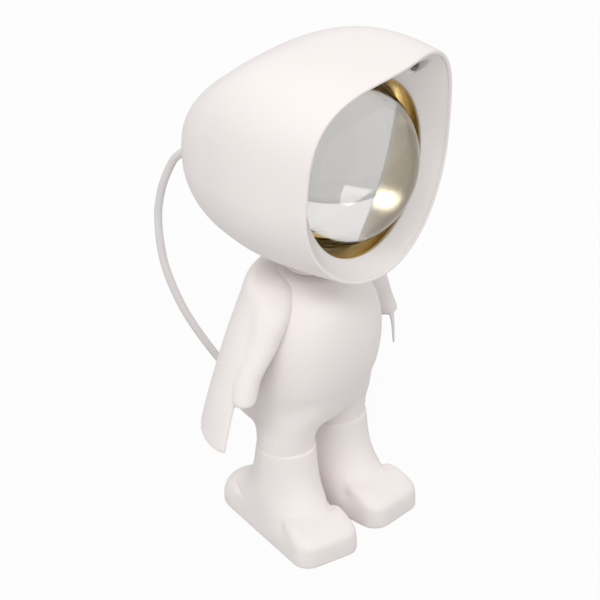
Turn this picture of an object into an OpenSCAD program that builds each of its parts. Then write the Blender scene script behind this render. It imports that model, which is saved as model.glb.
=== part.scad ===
// Desk lamp in the shape of a caped spaceman. The lens in its hood throws the light.
// The head tilts and turns. Millimetres, +Z up. The figure faces -Y and its right side is at -X.
// The origin is on the floor under the middle of the lamp.

/* [Hood] */
// Width of the hood at its rim
hood_w = 85; // [82:0.2:88]
// Height of the flat brow above the lens axis
brow_h = 42; // [39.6:0.2:43]
// Depth of the chin below the lens axis
chin_h = 42; // [41:0.2:46]
// Length of the hood from its rim to its back
hood_len = 92; // [89:1:96]
// Wall of the hood
hood_wall = 2.4; // [1.8:0.1:2.6]
// How far the brow leans forward, in degrees
brow_lean = 8; // [5:0.5:10]
// How far the back of the hood droops below the lens axis
back_drop = 5.8; // [4:0.2:7]
// How far the head looks up as it stands, in degrees
head_pitch = 4.4; // [2:0.2:6]

/* [Lens] */
// Radius of the opening that the bezel leaves round the lens
opening_r = 33.9; // [32.8:0.1:34.4]
// How much smaller the dome's radius is than the opening's
dome_in = 0.6; // [0.3:0.1:1.2]
// Thickness of the lens flange
lens_edge = 2.5; // [2:0.1:3]
// Depth of the rim in front of the bezel's opening
rim_ahead = 12.4; // [11:0.2:13]
// Radius of the optic barrel's tube
barrel_r = 25; // [23:0.5:25.5]
// Length of the optic barrel's tube
barrel_len = 24; // [22:1:30]
// Radius of the reflector's small end
reflector_r = 9.5; // [8:0.5:10]
// Radius of the LED board
board_r = 11; // [11:0.2:13]
// Thickness of the LED board
board_t = 1.6; // [1:0.1:2]
// Radius of the LED chip
chip_r = 5; // [3:0.5:7]
// Length of the heat sink's fins
fin_len = 14; // [10:1:16]
// Number of slots between the fins
fin_slots = 6; // [4:1:7]

/* [Neck] */
// Height of the tilt pivot above the neck opening
pivot_up = 15.8; // [15.4:0.2:18]
// Radius of the tilt pin
tilt_pin_r = 2; // [1.5:0.1:2.2]
// Thickness of the tongue between the hood's lugs
tongue_t = 12; // [10:0.5:13]
// Thickness of each lug
lug_t = 4; // [3:0.2:5]
// Radius of the spigot that turns in the neck bush
spigot_r = 6; // [5:0.2:7]
// Wall of the neck bush
bush_wall = 4; // [3:0.2:5]

/* [Torso] */
// Width of the torso at its widest
torso_w = 54; // [52:1:57]
// Depth of the torso at its deepest
torso_d = 44; // [42:1:46]
// Height of the neck opening above the floor
neck_z = 108; // [107:0.5:109]
// Wall of the torso shells
torso_wall = 2.4; // [1.8:0.1:3]
// Diameter of the shell, sole and bezel screws
screw_d = 3; // [2.4:0.1:3.2]

/* [Cape] */
// Distance between the two lower tips of the cape
cape_w = 102; // [98:1:110]
// Depth of the cape behind the leg axis at its hem
cape_d = 33.5; // [32:0.5:38]
// Height of the hem above the floor
cape_hem = 49; // [44:1:54]
// Thickness of the cape
cape_t = 1.6; // [1.2:0.1:2.2]

/* [Boots] */
// Height of the boot tops
boot_h = 37.6; // [36:0.2:40]
// Distance between the two leg axes
leg_space = 30.8; // [29.6:0.2:32]
// Radius of the legs where they enter the boots
leg_r = 10.6; // [10.2:0.1:11.4]
// Width of the toe cap
toe_w = 27.5; // [25:0.5:28]
// Length of the boot ahead of the leg axis
toe_len = 33; // [32:0.5:36]
// Height of the toe cap
toe_h = 13.8; // [13.4:0.2:17]
// Radius of the heel
heel_r = 12.5; // [11.5:0.1:13.5]
// Turn of the right boot outwards, in degrees
right_turn = 17; // [10:1:20]
// Turn of the left boot outwards, in degrees
left_turn = -2; // [-4:1:10]
// Thickness of the rubber pads below the boots
pad_t = 1.2; // [0.8:0.1:1.6]

/* [Cord] */
// Diameter of the power cord
cord_d = 3.2; // [2.8:0.1:3.6]
// Turns of the put-away coil in one layer
coil_turns = 2; // [2:1:3]
// Layers of the coil
coil_layers = 4; // [2:2:4]
// Radius of the coil at the middle of its turns
coil_r = 18; // [16:0.5:22]
// Clear space between neighbouring turns
coil_gap = 0.6; // [0.5:0.1:1]

/* [Hidden] */

white = [0.93, 0.91, 0.90];
gold = [0.80, 0.62, 0.26];
steel = [0.70, 0.71, 0.73];
dark = [0.25, 0.25, 0.27];
pale = [0.86, 0.86, 0.84];
silver = [0.85, 0.86, 0.88];
clear = [0.82, 0.90, 0.94];
amber = [0.95, 0.85, 0.40];
red = [0.80, 0.20, 0.20];
$fn = 64;
hull_fn = 32;

// Clearances: between fixed pieces, on running fits, and between pieces that move past each other
fit = 0.1;
run = 0.05;
free = 0.3;
// How far joined solids run into each other, how far a cut runs past a face, and a cut right through
lap = 0.5;
cut = 1;
through = 120;

// The leg axes and the neck axis stand in one plane, set so that the origin is under the middle
axis_y = -10;
// Tilt pivot, the chin below it, the lens axis above it and the bezel's opening ahead of it
pivot_z = neck_z + pivot_up;
chin_drop = 11;
tongue_r = 5.5;
barrel_gap = 0.5; // between the optic barrel and the neck's tongue below it
lens_z = max(chin_h - chin_drop, tongue_r + barrel_gap + barrel_r);
ring_ahead = 27.1;

function unit(v) = v / norm(v);
function mean(list) = list * [for (p = list) 1] / len(list);
function centre(ring) = [for (k = [0:2]) mean([for (p = ring) p[k]])];
function ease(v) = let (c = max(0, min(1, v))) c * c * (3 - 2 * c);

// One closed skin over rings of equal counts, with both ends capped. A thin ring runs out and back again,
// so its caps join the points that face each other.
module closed_skin(rings, thin = false) {
    m = len(rings[0]);
    n = len(rings);
    top = (n - 1) * m;
    side = [for (k = [0:n - 2], i = [0:m - 1])
        let (a = k * m + i, b = k * m + (i + 1) % m)
        each [[a, a + m, b + m], [a, b + m, b]]];
    fans = [for (i = [0:m - 1])
        let (j = (i + 1) % m)
        each [[n * m, i, j], [n * m + 1, top + j, top + i]]];
    strips = [for (i = [0:m / 2 - 2])
        let (j = m - 1 - i, a = top + i, b = top + j)
        each [[j, i, i + 1], [j, i + 1, j - 1], [b, a + 1, a], [b, b - 1, a + 1]]];
    points = [for (r = rings) each r];
    ends = [centre(rings[0]), centre(rings[n - 1])];
    polyhedron(points = thin ? points : concat(points, ends), faces = concat(side, thin ? strips : fans));
}

// One closed skin over loops that go round and meet again, as on a ring
module ring_skin(loops) {
    m = len(loops[0]);
    n = len(loops);
    faces = [for (k = [0:n - 1], i = [0:m - 1])
        let (j = (i + 1) % m, a = k * m, b = (k + 1) % n * m)
        each [[a + i, b + i, b + j], [a + i, b + j, a + j]]];
    polyhedron(points = [for (l = loops) each l], faces = faces);
}

// A smooth curve through rows of sizes, at share u of the way
function row_at(rows, u) =
    let (n = len(rows) - 1,
        k = min(floor(u * n), n - 1),
        f = u * n - k,
        p0 = rows[max(k - 1, 0)],
        p1 = rows[k],
        p2 = rows[k + 1],
        p3 = rows[min(k + 2, n)])
    0.5 * (2 * p1 + (p2 - p0) * f + (2 * p0 - 5 * p1 + 4 * p2 - p3) * f * f
        + (3 * p1 - p0 - 3 * p2 + p3) * f * f * f);

// A point of a squarish oval whose upper and lower halves may differ
function power(v, n) = sign(v) * pow(abs(v), 2 / n);
function oval(angle, w, top, low, n_top, n_low) =
    let (c = cos(angle), s = sin(angle), n = s > 0 ? n_top : n_low)
    [w * power(c, n), (s > 0 ? top : low) * power(s, n)];

module tube(r, bore, h) difference() {
    cylinder(r = r, h = h);
    translate([0, 0, -cut]) cylinder(r = bore, h = h + 2 * cut);
}

// A pan-head screw, head up, with the underside of its head at the origin. Sizes are shares of its diameter.
head_share = 0.9; // radius of the head
head_up = 0.55; // height of the head
slot_share = [1.2, 0.24]; // length and width of each slot of the cross
slot_from = 0.25; // floor of the slots above the underside
module screw(d, length) {
    translate([0, 0, -length]) cylinder(d = d, h = length);
    difference() {
        cylinder(r = head_share * d, h = head_up * d);
        for (a = [0, 90]) rotate(a)
            translate([-slot_share[0] * d / 2, -slot_share[1] * d / 2, slot_from * d])
                cube([slot_share[0] * d, slot_share[1] * d, head_up * d]);
    }
}
screw_bore = screw_d / 2 + run;

// Frames of the head: at the pivot, at the bezel's opening, and along the lens axis with depth as z
module in_head() translate([0, axis_y, pivot_z]) rotate([-head_pitch, 0, 0]) children();
module at_ring() in_head() translate([0, -ring_ahead, lens_z]) children();
module on_lens_axis() at_ring() rotate([-90, 0, 0]) children();
function head_to_world(p) =
    let (y = p[1] - ring_ahead, z = p[2] + lens_z, c = cos(head_pitch), s = sin(head_pitch))
    [p[0], axis_y + y * c + z * s, pivot_z - y * s + z * c];

// The hood: a shield-shaped rim that swells a little and then closes to a blunt end
hood_sides = 48;
hood_rings = 16;
hood_end = 0.998; // share of the length at which the skin is capped
rim_swell = [2, 5.3, -0.9]; // at the sides, the top and the bottom
swell_share = [0.6, 0.75]; // of the length over which the sides, and the top and bottom, swell
cheek_back = 5.6; // how far the rim is set back at its sides
brow_square = 3.4;
back_square = 2.7;
square_share = 0.85; // of the length over which the squareness eases
round_off = [3.1, 0.58]; // powers of the curve that closes the back
droop = 1.65; // power of the curve by which the back drops
function hood_close(t) = pow(1 - pow(t, round_off[0]), round_off[1]);
function swell(t, k) = sin(180 * min(t / swell_share[k], 1));
function hood_half(t, inset) = (hood_w / 2 + rim_swell[0] * swell(t, 0) - inset) * hood_close(t);
function hood_up(t, inset) = (brow_h + rim_swell[1] * swell(t, 1) - inset) * hood_close(t);
function hood_down(t, inset) = (chin_h + rim_swell[2] * swell(t, 1) - inset) * hood_close(t);
function hood_square(t) = brow_square + (back_square - brow_square) * min(t / square_share, 1);
function hood_point(t, inset, i) =
    let (w = hood_half(t, inset),
        p = oval(360 * i / hood_sides, w, hood_up(t, inset), hood_down(t, inset), hood_square(t), 2),
        lean = cheek_back * pow(p[0] / w, 2) - p[1] * tan(brow_lean))
    [p[0], t * (hood_len - inset) - rim_ahead + lean * pow(1 - t, 2), p[1] - back_drop * pow(t, droop)];
function hood_ring(t, inset) = [for (i = [0:hood_sides - 1]) hood_point(t, inset, i)];
function hood_ceiling(t, inset, x) =
    let (n = hood_square(t))
    hood_up(t, inset) * pow(1 - pow(x / hood_half(t, inset), n), 1 / n) - back_drop * pow(t, droop);
rim_edge = 1.4; // wall at the very rim
hood_steps = [for (i = [0:hood_rings]) hood_end * sin(90 * i / hood_rings)];

// The lowest line of the hood, and the places of the gland and of the switch, with its way out of the wall
function hood_low(t) = hood_point(t, 0, 3 * hood_sides / 4);
gland_share = 0.997;
gland_tilt = 35;
switch_share = 0.9;
switch_side = hood_sides / 8;
share_step = 0.003;
side_step = 0.1;
function switch_point(t, i) = hood_point(switch_share + t * share_step, 0, switch_side + i * side_step);
switch_way = unit(cross(switch_point(1, 0) - switch_point(-1, 0), switch_point(0, 1) - switch_point(0, -1)));
module at_switch() at_ring() translate(switch_point(0, 0))
    rotate([0, acos(switch_way[2]), atan2(switch_way[1], switch_way[0])]) children();
module at_gland() at_ring() translate(hood_low(gland_share)) rotate([-90 - gland_tilt, 0, 0]) children();

// Depths along the lens axis, counted back from the bezel's opening
dome_r = opening_r - dome_in;
dome_back = 15.4;
bezel_lip = 2;
ring_wall = 0.8;
flange_at = 8;
flange_r = opening_r - 0.4;
ring_r = opening_r + ring_wall;
gasket_t = 1;
gasket_w = 4;
sheet_t = 1;
barrel_flange = 3.5;
barrel_wall = 1.4;
barrel_floor = 2.6;
gasket_at = flange_at + lens_edge;
reflector_at = gasket_at + gasket_t;
barrel_at = reflector_at + sheet_t;
barrel_end = barrel_at + barrel_flange + barrel_len;
collar_r = ring_r + fit;
collar_wall = 1.6;

// Bezel screws, in the upper corners of the rim, and the hood's bosses for them
bezel_screw_at = [27, 31.4];
bezel_screw_len = 14;
seat_depth = -0.5;
boss_r = 4;
boss_len = bezel_screw_len + 2;
rib_w = 4;
rib_len = 9;
lip_share = (rim_ahead + bezel_lip) / hood_len;
rib_up = hood_ceiling(lip_share, lap, bezel_screw_at[0] + rib_w / 2) - bezel_screw_at[1];
module at_bezel_screws() on_lens_axis() for (side = [-1, 1])
    translate([side * bezel_screw_at[0], -bezel_screw_at[1], 0]) children();

// Tilt joint: two lugs under the hood, with a slot for the tongue between them
lug_r = 6;
lug_skin = 1.85; // how deep the lugs' feet stay below the hood's outside
lug_foot = -lens_z - hood_low((ring_ahead + rim_ahead) / hood_len)[2] - lug_skin;
lug_in = tongue_t / 2 + free;
lug_out = lug_in + lug_t;
washer_t = 0.8;
washer_share = 1.75;
slot_y = tongue_r + 3.7;
slot_deep = 20;

module hood_shell() color(white) difference() {
    union() {
        at_ring() closed_skin(concat(
            [for (i = [hood_rings:-1:0]) hood_ring(hood_steps[i], 0)],
            [for (t = hood_steps) hood_ring(t, t > 0 ? hood_wall : rim_edge)]));
        in_head() for (x = [-lug_out, lug_in]) translate([x, 0, 0]) {
            rotate([0, 90, 0]) cylinder(r = lug_r, h = lug_t);
            translate([0, -lug_r, -lug_foot]) cube([lug_t, 2 * lug_r, lug_foot]);
        }
        at_bezel_screws() translate([0, 0, bezel_lip + fit]) {
            cylinder(r = boss_r, h = boss_len);
            translate([-rib_w / 2, -rib_up, 0]) cube([rib_w, rib_up, rib_len]);
        }
    }
    in_head() translate([-lug_in, -slot_y, -slot_deep])
        cube([2 * lug_in, 2 * slot_y, slot_deep - tongue_r / 2]);
    in_head() rotate([0, 90, 0]) cylinder(r = tilt_pin_r + run, h = 2 * lug_out + 2 * cut, center = true);
    at_bezel_screws() cylinder(r = screw_bore, h = bezel_screw_len + cut);
    at_gland() cylinder(r = gland_r + fit, h = 2 * gland_reach, center = true);
    at_switch() cylinder(r = switch_r + fit, h = 2 * switch_deep, center = true);
}

bezel_inset = hood_wall + 2 * fit;
bezel_edge = rim_edge + 3 * fit;
bezel_front = 0.012; // share of the hood's length at which the bezel starts
function circle_loop(r, y) = [for (i = [0:hood_sides - 1])
    let (a = 360 * i / hood_sides)
    [r * cos(a), y, r * sin(a)]];
function lip_loop() = [for (i = [0:hood_sides - 1])
    let (p = hood_point(lip_share, bezel_inset, i),
        q = hood_point(lip_share - (p[1] - bezel_lip) / hood_len, bezel_inset, i))
    [q[0], bezel_lip, q[2]]];
module front_bezel() color(white) difference() {
    union() {
        at_ring() ring_skin([circle_loop(opening_r, 0), circle_loop(opening_r, bezel_lip), lip_loop(),
            hood_ring(hood_steps[1], bezel_inset), hood_ring(bezel_front, bezel_edge)]);
        on_lens_axis() translate([0, 0, bezel_lip - lap])
            tube(collar_r + collar_wall, collar_r, barrel_at + barrel_flange - bezel_lip + lap);
    }
    at_bezel_screws() {
        translate([0, 0, seat_depth - through]) cylinder(r = screw_d, h = through);
        translate([0, 0, seat_depth - cut]) cylinder(r = screw_bore, h = bezel_lip - seat_depth + 2 * cut);
    }
    barrel_screw_holes();
}

module bezel_screws() color(steel) at_bezel_screws()
    translate([0, 0, seat_depth]) rotate([180, 0, 0]) screw(screw_d, bezel_screw_len);

module lens() color(clear) on_lens_axis() {
    intersection() {
        translate([0, 0, dome_back]) sphere(r = dome_r);
        translate([0, 0, flange_at + lap - 2 * dome_r]) cylinder(r = dome_r, h = 2 * dome_r);
    }
    translate([0, 0, flange_at]) cylinder(r = flange_r, h = lens_edge);
}

ring_lip = sqrt(dome_r * dome_r - pow(dome_back - flange_at, 2)) + free;
module lens_ring() color(gold) on_lens_axis() rotate_extrude() polygon([
    [opening_r, bezel_lip + fit],
    [ring_r, bezel_lip + fit],
    [ring_r, barrel_at],
    [flange_r + fit, barrel_at],
    [flange_r + fit, flange_at - fit],
    [ring_lip, flange_at - fit],
    [ring_lip, flange_at - 2 * ring_wall]]);

module lens_gasket() color(dark) on_lens_axis() translate([0, 0, gasket_at])
    tube(flange_r, flange_r - gasket_w, gasket_t);

cone_r = barrel_r - barrel_wall - sheet_t - 2 * fit;
cone_end = barrel_end - barrel_floor - fit;
module reflector() color(silver) on_lens_axis() rotate_extrude() polygon([
    [cone_r, reflector_at],
    [flange_r, reflector_at],
    [flange_r, barrel_at],
    [cone_r + sheet_t, barrel_at],
    [reflector_r + sheet_t, cone_end],
    [reflector_r, cone_end]]);

barrel_screw_d = 2.5;
barrel_screw_len = 7;
barrel_screw_at = barrel_at + barrel_flange / 2;
module barrel_screw_holes() on_lens_axis() translate([0, 0, barrel_screw_at]) rotate([0, 90, 0])
    cylinder(r = barrel_screw_d / 2 + run, h = through, center = true);
module optic_barrel() color(dark) difference() {
    on_lens_axis() rotate_extrude() polygon([
        [barrel_r - barrel_wall, barrel_at],
        [ring_r, barrel_at],
        [ring_r, barrel_at + barrel_flange],
        [barrel_r, barrel_at + barrel_flange],
        [barrel_r, barrel_end],
        [board_r + fit, barrel_end],
        [board_r + fit, barrel_end - barrel_floor],
        [barrel_r - barrel_wall, barrel_end - barrel_floor]]);
    barrel_screw_holes();
    sink_screw_holes();
}
module barrel_screws() color(steel) on_lens_axis() for (side = [0, 180]) rotate([0, 0, side])
    translate([collar_r + collar_wall, 0, barrel_screw_at]) rotate([0, 90, 0])
        screw(barrel_screw_d, barrel_screw_len);

chip_t = 1;
module led_board() color(pale) on_lens_axis() translate([0, 0, barrel_end - board_t])
    cylinder(r = board_r, h = board_t);
module led_chip() color(amber) on_lens_axis() translate([0, 0, barrel_end - board_t - chip_t])
    cylinder(r = chip_r, h = chip_t);

// Heat sink on the end of the barrel. The lead to the LED runs in a channel through its fins.
sink_base = 3;
sink_end = barrel_end + sink_base + fin_len;
sink_screw_at = barrel_r - barrel_wall - screw_d - free;
sink_screw_len = sink_base + barrel_floor + lap;
fin_r = sink_screw_at - 1.2 * screw_d;
fin_slot = 2.4;
fin_pitch = 2 * fin_r / (fin_slots + 0.6);
fin_floor = 1;
lead_d = 2.4;
lead_drop = 8;
channel_w = lead_d + 2 * free;
module sink_screw_holes() on_lens_axis() for (x = [-sink_screw_at, sink_screw_at])
    translate([x, 0, barrel_end - barrel_floor - cut])
        cylinder(r = screw_bore, h = barrel_floor + sink_base + 2 * cut);
module heat_sink() color(steel) difference() {
    on_lens_axis() translate([0, 0, barrel_end]) {
        cylinder(r = barrel_r, h = sink_base);
        cylinder(r = fin_r, h = sink_base + fin_len);
    }
    on_lens_axis() for (i = [0:fin_slots - 1])
        translate([(i - (fin_slots - 1) / 2) * fin_pitch, 0, sink_end + fin_floor])
            cube([fin_slot, 2 * fin_r + 2 * cut, 2 * fin_len], center = true);
    on_lens_axis() translate([-channel_w / 2, lead_drop - channel_w / 2, sink_end - fin_len])
        cube([channel_w, fin_r, fin_len + cut]);
    on_lens_axis() translate([0, lead_drop, barrel_end - cut])
        cylinder(r = lead_d / 2 + fit, h = sink_base + 2 * cut);
    sink_screw_holes();
}
module sink_screws() color(steel) on_lens_axis() for (x = [-sink_screw_at, sink_screw_at])
    translate([x, 0, barrel_end + sink_base]) screw(screw_d, sink_screw_len);

// Panel switch in the back of the hood, with a push button. The wall curves away below its flange.
switch_r = 5;
switch_flange_r = 6.6;
switch_deep = 9;
flange_low = -0.15;
flange_top = 1;
switch_bore = 5;
nut_t = 2;
nut_wall = 2.4;
nut_low = hood_wall + 3.6;
button_r = 3.6;
button_len = 5.6;
button_proud = 2.4;
module switch_body() color(dark) at_switch() difference() {
    union() {
        translate([0, 0, -switch_deep]) cylinder(r = switch_r, h = switch_deep + flange_top);
        translate([0, 0, flange_low]) cylinder(r = switch_flange_r, h = flange_top - flange_low);
    }
    translate([0, 0, -switch_bore]) cylinder(r = button_r + run, h = switch_bore + flange_top + cut);
}
module switch_nut() color(steel) at_switch() translate([0, 0, -nut_low]) difference() {
    cylinder(r = switch_r + nut_wall, h = nut_t, $fn = 6);
    translate([0, 0, -cut]) cylinder(r = switch_r + run, h = nut_t + 2 * cut);
}
module power_button() color(white) at_switch() translate([0, 0, button_proud - button_len])
    cylinder(r = button_r, h = button_len);

// Gland that holds the cord in the back of the hood, with a taper for strain relief
gland_r = 3.8;
gland_tip_r = 2.3;
gland_out = 9;
gland_in = 8.1;
gland_neck = 2;
gland_rim = 2;
gland_rim_t = 1.5;
gland_reach = gland_in + gland_out;
gland_tip = head_to_world(hood_low(gland_share) + gland_out * [0, cos(gland_tilt), -sin(gland_tilt)]);
gland_way = [0, cos(gland_tilt + head_pitch), -sin(gland_tilt + head_pitch)];
module cord_gland() color(pale) at_gland() difference() {
    union() {
        translate([0, 0, -gland_in]) cylinder(r = gland_r, h = gland_in + gland_neck);
        translate([0, 0, -gland_in - gland_rim_t]) cylinder(r = gland_r + gland_rim, h = gland_rim_t);
        translate([0, 0, gland_neck]) cylinder(r1 = gland_r, r2 = gland_tip_r, h = gland_out - gland_neck);
    }
    cylinder(d = cord_d + fit, h = 2 * gland_reach, center = true);
}

// Leads inside the hood: the cord's own end in the gland, a pair at the switch, and one into the heat sink
lead_stub = 6;
pair_x = 2;
pair_d = 1.4;
module lamp_leads() color(red) {
    at_gland() translate([0, 0, -gland_in - lead_stub]) cylinder(d = cord_d, h = gland_reach + lead_stub);
    at_switch() for (x = [-pair_x, pair_x]) translate([x, 0, -switch_deep - lead_stub])
        cylinder(d = pair_d, h = lead_stub);
    on_lens_axis() translate([0, lead_drop, barrel_end])
        cylinder(d = lead_d, h = sink_end - barrel_end + lead_stub);
}

// Tilt pin, with its head on one lug and its nut on the other, each over a washer
pin_head = 2.4;
pin_nut = 2.8;
pin_seat = lug_out + washer_t;
module on_pivot() in_head() rotate([0, 90, 0]) children();
module tilt_pin() color(steel) on_pivot() translate([0, 0, -pin_seat - pin_head]) {
    cylinder(r = tilt_pin_r, h = 2 * pin_seat + pin_head + pin_nut + fit);
    cylinder(r = washer_share * tilt_pin_r, h = pin_head);
}
module tilt_nut() color(steel) on_pivot() translate([0, 0, pin_seat]) difference() {
    cylinder(r = washer_share * tilt_pin_r, h = pin_nut, $fn = 6);
    translate([0, 0, -cut]) cylinder(r = tilt_pin_r + run, h = pin_nut + 2 * cut);
}
module tilt_washers() color(steel) on_pivot() for (z = [-pin_seat, lug_out]) translate([0, 0, z])
    tube(washer_share * tilt_pin_r, tilt_pin_r + run, washer_t);

// Neck: a swivel that turns in a bush, with the tongue of the tilt joint on top
felt_t = 0.8;
disc_r = 10;
disc_t = 1.3;
bush_len = 16;
bush_r = spigot_r + bush_wall;
bush_flange = 2;
spigot_end = neck_z - bush_len - free;
disc_low = neck_z + felt_t;
swivel_screw_d = 4;
swivel_screw_len = 12;
spring_t = 1.5;
module at_neck(z) translate([0, axis_y, z]) children();
module neck_swivel() color(white) difference() {
    union() {
        at_neck(disc_low) cylinder(r = disc_r, h = disc_t);
        at_neck(spigot_end) cylinder(r = spigot_r, h = disc_low + lap - spigot_end);
        at_neck(disc_low + lap) translate([-tongue_t / 2, -tongue_r, 0])
            cube([tongue_t, 2 * tongue_r, pivot_z - disc_low - lap]);
        at_neck(pivot_z) rotate([0, 90, 0]) cylinder(r = tongue_r, h = tongue_t, center = true);
    }
    at_neck(pivot_z) rotate([0, 90, 0])
        cylinder(r = tilt_pin_r + run, h = tongue_t + 2 * cut, center = true);
    at_neck(spigot_end - cut) cylinder(r = swivel_screw_d / 2 + run, h = swivel_screw_len + 2 * cut);
}
module friction_ring() color(dark) at_neck(neck_z) tube(disc_r - lap, spigot_r + free, felt_t - free);
module neck_bush() color(pale) at_neck(neck_z - bush_len) {
    tube(bush_r, spigot_r + run, bush_len - fit);
    tube(bush_r + bush_flange, spigot_r + run, bush_flange);
}
module swivel_washer() color(steel) at_neck(spigot_end - spring_t)
    tube(bush_r - 2 * lap, swivel_screw_d / 2 + run, spring_t);
module swivel_screw() color(steel) at_neck(spigot_end - spring_t) rotate([180, 0, 0])
    screw(swivel_screw_d, swivel_screw_len);

// Torso with the legs, in a front and a back shell
neck_r = bush_r + 3;
chest_z = neck_z - bush_len + bush_flange; // top of the hollow, above the end of the neck bush
function torso_z(share) = boot_h + share * (chest_z - boot_h);
torso_rows = [
    // height, half width, half depth, shift back, squareness, more depth at the back
    [torso_z(0.096), 0.7 * torso_w / 2, 0.54 * torso_d / 2, 3.4, 2.3, 8.5],
    [torso_z(0.1755), 0.83 * torso_w / 2, 0.78 * torso_d / 2, 3.9, 2.4, 6.5],
    [torso_z(0.326), 0.94 * torso_w / 2, 0.92 * torso_d / 2, 2.8, 2.5, 3],
    [torso_z(0.539), torso_w / 2, torso_d / 2, 0.5, 2.6, 0],
    [torso_z(0.787), torso_w / 2, torso_d / 2, -1, 2.6, 0],
    [chest_z, 0.91 * torso_w / 2, 0.92 * torso_d / 2, -1.5, 2.5, 0],
    [neck_z - 6, 0.75 * torso_w / 2, 0.80 * torso_d / 2, -1, 2.3, 0],
    [neck_z - 2, neck_r + 2.5, neck_r + 2, 0, 2.1, 0],
    [neck_z, neck_r, neck_r, 0, 2, 0]];
torso_sides = 40;
seat_square = 0.12; // how much squarer the back gets for each millimetre of its added depth
torso_steps = 20;
function torso_ring(u, inset) =
    let (r = row_at(torso_rows, u), w = r[1] - inset, d = r[2] - inset)
    [for (i = [0:torso_sides - 1])
        let (p = oval(360 * i / torso_sides, w, d + r[5], d, r[4] + seat_square * r[5], r[4]))
        [p[0], p[1] + r[3] + axis_y, r[0]]];
cavity = [0.12, 0.625]; // shares of the rows between which the torso is hollow
leg_in = 8;
plug_r = leg_r - 1.9;
leg_rows = [
    // height, distance from the middle, half width, half depth, shift back
    [boot_h + fit, leg_space / 2, leg_r, leg_r, -0.5],
    [boot_h + 8.4, leg_space / 2 - 0.3, leg_r + 1, leg_r + 2.6, -0.2],
    [boot_h + 16.4, leg_space / 2 - 1.6, leg_r + 1.4, leg_r + 6.4, 0.6],
    [boot_h + 24.4, leg_space / 2 - 4, leg_r, leg_r + 7.5, 0.3]];
leg_sides = 32;
leg_steps = 9;
function leg_ring(side, r) = [for (k = [0:leg_sides - 1])
    let (a = 360 * k / leg_sides)
    [side * r[1] + r[2] * cos(a), axis_y + r[4] + r[3] * sin(a), r[0]]];
module at_leg(side, z) translate([side * leg_space / 2, axis_y, z]) children();
module leg(side) {
    closed_skin([for (i = [0:leg_steps]) leg_ring(side, row_at(leg_rows, i / leg_steps))]);
    at_leg(side, boot_h - leg_in) cylinder(r = plug_r, h = leg_in + 2 * cut);
}

parting = axis_y - 1;
hip_screw_z = torso_z(0.397);
chest_screw_z = cape_z(0.627);
torso_screw_at = [[-15, hip_screw_z], [15, hip_screw_z], [-17, chest_screw_z], [17, chest_screw_z]];
torso_screw_len = 20;
torso_seat = parting + 13;
post_r = 3.6;
cape_screw_at = [[-10, chest_screw_z], [10, chest_screw_z]];
cape_seat = axis_y + torso_d / 2 - torso_wall - 2.2;
seat_len = 8;
// Puts its children at each place on a plane y, with their z to the front
module at_places(places, y) for (p = places) translate([p[0], y, p[1]]) rotate([90, 0, 0]) children();
module torso_solid() {
    closed_skin([for (i = [0:torso_steps]) torso_ring(i / torso_steps, 0)]);
    for (side = [-1, 1]) leg(side);
}
module torso_hollow() difference() {
    closed_skin([for (i = [0:torso_steps])
        torso_ring(cavity[0] + (cavity[1] - cavity[0]) * i / torso_steps, torso_wall)]);
    at_places(torso_screw_at, axis_y) cylinder(r = post_r, h = through, center = true);
}
module torso_shell() difference() {
    torso_solid();
    torso_hollow();
    at_neck(neck_z - bush_len - lap) cylinder(r = bush_r + fit, h = bush_len + cut);
    at_neck(neck_z - bush_len - fit) cylinder(r = bush_r + bush_flange + fit, h = bush_flange + 2 * fit);
    at_places(torso_screw_at, torso_seat) {
        cylinder(r = screw_bore, h = torso_screw_len + cut);
        translate([0, 0, -through]) cylinder(r = screw_d, h = through);
    }
    at_places(cape_screw_at, cape_seat) {
        translate([0, 0, -torso_d / 2]) cylinder(r = screw_bore, h = torso_d / 2 + cut);
        cylinder(r = screw_d, h = seat_len);
    }
    for (side = [-1, 1]) at_leg(side, boot_h - leg_in - cut)
        cylinder(r = leg_bore, h = leg_screw_reach + 2 * cut);
}
module torso_front() color(white) intersection() {
    torso_shell();
    translate([-through, parting - 2 * through, 0]) cube(2 * through);
}
module torso_back() color(white) intersection() {
    torso_shell();
    translate([-through, parting, 0]) cube(2 * through);
}
module torso_screws() color(steel) at_places(torso_screw_at, torso_seat) rotate([180, 0, 0])
    screw(screw_d, torso_screw_len);

// Cape: half a cone that stands open at the front, one moulding with the arms
function cape_z(share) = cape_hem + share * (neck_z - cape_hem);
cape_rows = [
    // height, half width, depth, shift back
    [cape_hem, cape_w / 2, cape_d, 0.5],
    [cape_z(0.246), 0.91 * cape_w / 2, 0.92 * cape_d, 0.5],
    [cape_z(0.585), 0.75 * cape_w / 2, 0.797 * cape_d, 0.5],
    [cape_z(0.856), 0.588 * cape_w / 2, 0.687 * cape_d, 0.5],
    [cape_z(0.946), 0.533 * cape_w / 2, 0.642 * cape_d, 0.8],
    [neck_z - 0.6, 0.459 * cape_w / 2, 0.56 * cape_d, 1],
    [neck_z + 0.3, neck_r + cape_t + 2, neck_r + cape_t + 1.8, 0]];
cape_sides = 32;
cape_steps = 12;
yoke_t = 9; // how much thicker the cape is where it rests on the shoulders
yoke_from = 0.4; // shares of the rows at which the yoke starts, is whole, starts to go and is gone
yoke_whole = 0.6;
yoke_to = 0.83;
function yoke(u) = yoke_t * ease((u - yoke_from) / (yoke_whole - yoke_from))
    * (1 - ease((u - yoke_to) / (1 - yoke_to)));
function cape_arc(u, inset) =
    let (r = row_at(cape_rows, u))
    [for (i = [0:cape_sides])
        let (a = 180 * i / cape_sides)
        [(r[1] - inset) * cos(a), (r[2] - inset) * sin(a) + r[3] + axis_y, r[0]]];
function cape_ring(u) =
    concat(cape_arc(u, 0), [for (i = [cape_sides:-1:0]) cape_arc(u, cape_t + yoke(u))[i]]);
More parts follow.
